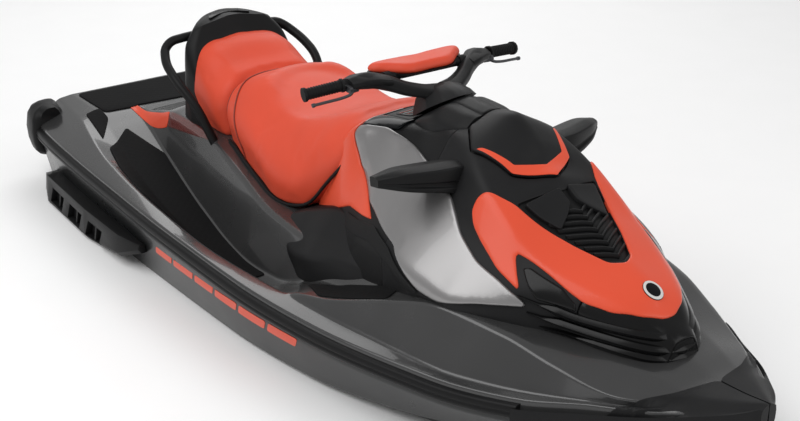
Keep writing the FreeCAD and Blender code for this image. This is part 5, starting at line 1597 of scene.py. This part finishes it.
    def boxes(self):
        """Side boxes with a curved crease, and the textured strip ahead of each."""
        lines = [[(row[0],) + row[1][k] for row in SIDE_BOX] for k in range(5)]
        rows = []
        for x in np.linspace(-30, 550, 60):
            corners = [along(line, x) for line in lines]
            crease = (0.5 * (corners[2][0] + corners[3][0]) + 5,
                      0.5 * (corners[2][1] + corners[3][1]) - 7)
            corners = corners[:3] + [crease] + corners[3:]
            ring = eased(corners, [4, 9, 14, 7, 16, 6], steps=4, closed=True)
            rows.append([(x, -y, h) for y, h in ring])
        boxes = twin(loft("Side_boxes", rows, sharp=36))
        dress(boxes, "craft", "Charcoal_moulding", ["side_boxes"])
        strip = [(262, 652), (430, 686), (484, 697), (590, 677), (690, 630), (748, 604),
                 (700, 588), (600, 634), (480, 656), (300, 618)]
        dress(twin(panel("Side_strips", BODY, side_loop(strip, 12, 8), 6, 2, 2.0, step=10)),
              "craft", "Rubber")


class BuildJet(Operator):
    """Jet pump, nozzle, reverse bucket, ride plate, grate and sponsons"""
    bl_idname = "watercraft.jet"
    bl_label = "Jet pump"

    def execute(self, context):
        for node, body, width, name, slot in JET:
            dress(softened(node, None, width), body, name)
        return {"FINISHED"}


class BuildStage(Operator):
    """Floor at the waterline, soft lights and the camera"""
    bl_idname = "watercraft.stage"
    bl_label = "Stage"

    def execute(self, context):
        reach = FLOOR_REACH
        mesh = bpy.data.meshes.new("Floor")
        mesh.from_pydata([(-reach, -reach, 0), (reach, -reach, 0), (reach, reach, 0),
                          (-reach, reach, 0)], [], [(0, 1, 2, 3)])
        floor = linked("Floor", mesh)
        pale = finish("Pale_floor", (0.97, 0.97, 0.97), 0.7, mottle=0.004, specular=0.1)
        mesh.materials.append(pale)
        self.world(context)
        for row in LAMPS:
            self.lamp(*row)
        self.camera(context)
        context.scene.view_settings.view_transform = "Standard"
        return {"FINISHED"}

    def world(self, context):
        """White backdrop, dimmer as a light than as what the camera sees."""
        world = bpy.data.worlds.new("Studio")
        context.scene.world = world
        world.use_nodes = True
        tree = world.node_tree
        background = tree.nodes["Background"]
        background.inputs["Color"].default_value = (1, 1, 1, 1)
        path = add(tree, "ShaderNodeLightPath")
        clear = add(tree, "ShaderNodeMath", {0: path.outputs["Is Camera Ray"],
                                             1: path.outputs["Is Transmission Ray"]},
                    operation="MAXIMUM")
        level = add(tree, "ShaderNodeMapRange", {"Value": clear.outputs[0], "To Min": 0.5,
                                                 "To Max": 1.0})
        tree.links.new(level.outputs["Result"], background.inputs["Strength"])

    def lamp(self, name, place, aim, size, watts):
        """Square area lamp."""
        data = bpy.data.lights.new(name, "AREA")
        data.shape = "SQUARE"
        data.size = size
        data.energy = watts
        self.aimed(linked(name, data), place, aim)

    def aimed(self, obj, place, aim):
        """Puts a lamp or the camera at its place, turned to what it looks at."""
        obj.location = place
        obj.rotation_euler = (Vector(aim) - obj.location).to_track_quat("-Z", "Y").to_euler()

    def camera(self, context):
        """The photo's camera, solved from landmarks on both sides of the craft."""
        data = bpy.data.cameras.new("Camera")
        for setting, value in LENS.items():
            setattr(data, setting, value)
        camera = linked("Camera", data)
        self.aimed(camera, CAMERA_PLACE, CAMERA_AIM)
        context.scene.camera = camera


class WatercraftPanel(Panel):
    bl_idname = "WATERCRAFT_PT_build"
    bl_label = "Watercraft"
    bl_space_type = "VIEW_3D"
    bl_region_type = "UI"
    bl_category = "Watercraft"

    def draw(self, context):
        column = self.layout.column()
        for operator in OPERATORS:
            column.operator(operator.bl_idname)
        for group in (context.scene.watercraft_sizes, context.scene.watercraft_colours):
            for name in group.__annotations__:
                column.prop(group, name)


OPERATORS = (BuildHull, BuildDeck, BuildRails, BuildMats, BuildBody, BuildPanels, BuildVent,
             BuildNose, BuildSeats, BuildHandlebar, BuildFittings, BuildJet, BuildStage)
CLASSES = (WatercraftSizes, WatercraftColours) + OPERATORS + (WatercraftPanel,)


def register():
    for cls in CLASSES:
        bpy.utils.register_class(cls)
    bpy.types.Scene.watercraft_sizes = PointerProperty(type=WatercraftSizes)
    bpy.types.Scene.watercraft_colours = PointerProperty(type=WatercraftColours)


def unregister():
    del bpy.types.Scene.watercraft_colours
    del bpy.types.Scene.watercraft_sizes
    for cls in reversed(CLASSES):
        bpy.utils.unregister_class(cls)


def dress_nodes():
    """Finishes for the CAD nodes that show as they are."""
    finishes = {"drive_shaft": "Cast_metal", "engine": "Coated_metal"}
    for name, node in frame["nodes"].items():
        if node.hide_render:
            continue
        node.data.materials.clear()
        node.data.materials.append(paint(finishes.get(name, "Charcoal_moulding")))


def main():
    register()
    for operator in OPERATORS:
        group, name = operator.bl_idname.split(".")
        result = getattr(getattr(bpy.ops, group), name)()
        if result != {"FINISHED"}:
            raise RuntimeError(f"{operator.bl_label} was not built")
    dress_nodes()


if __name__ == "__main__":
    main()
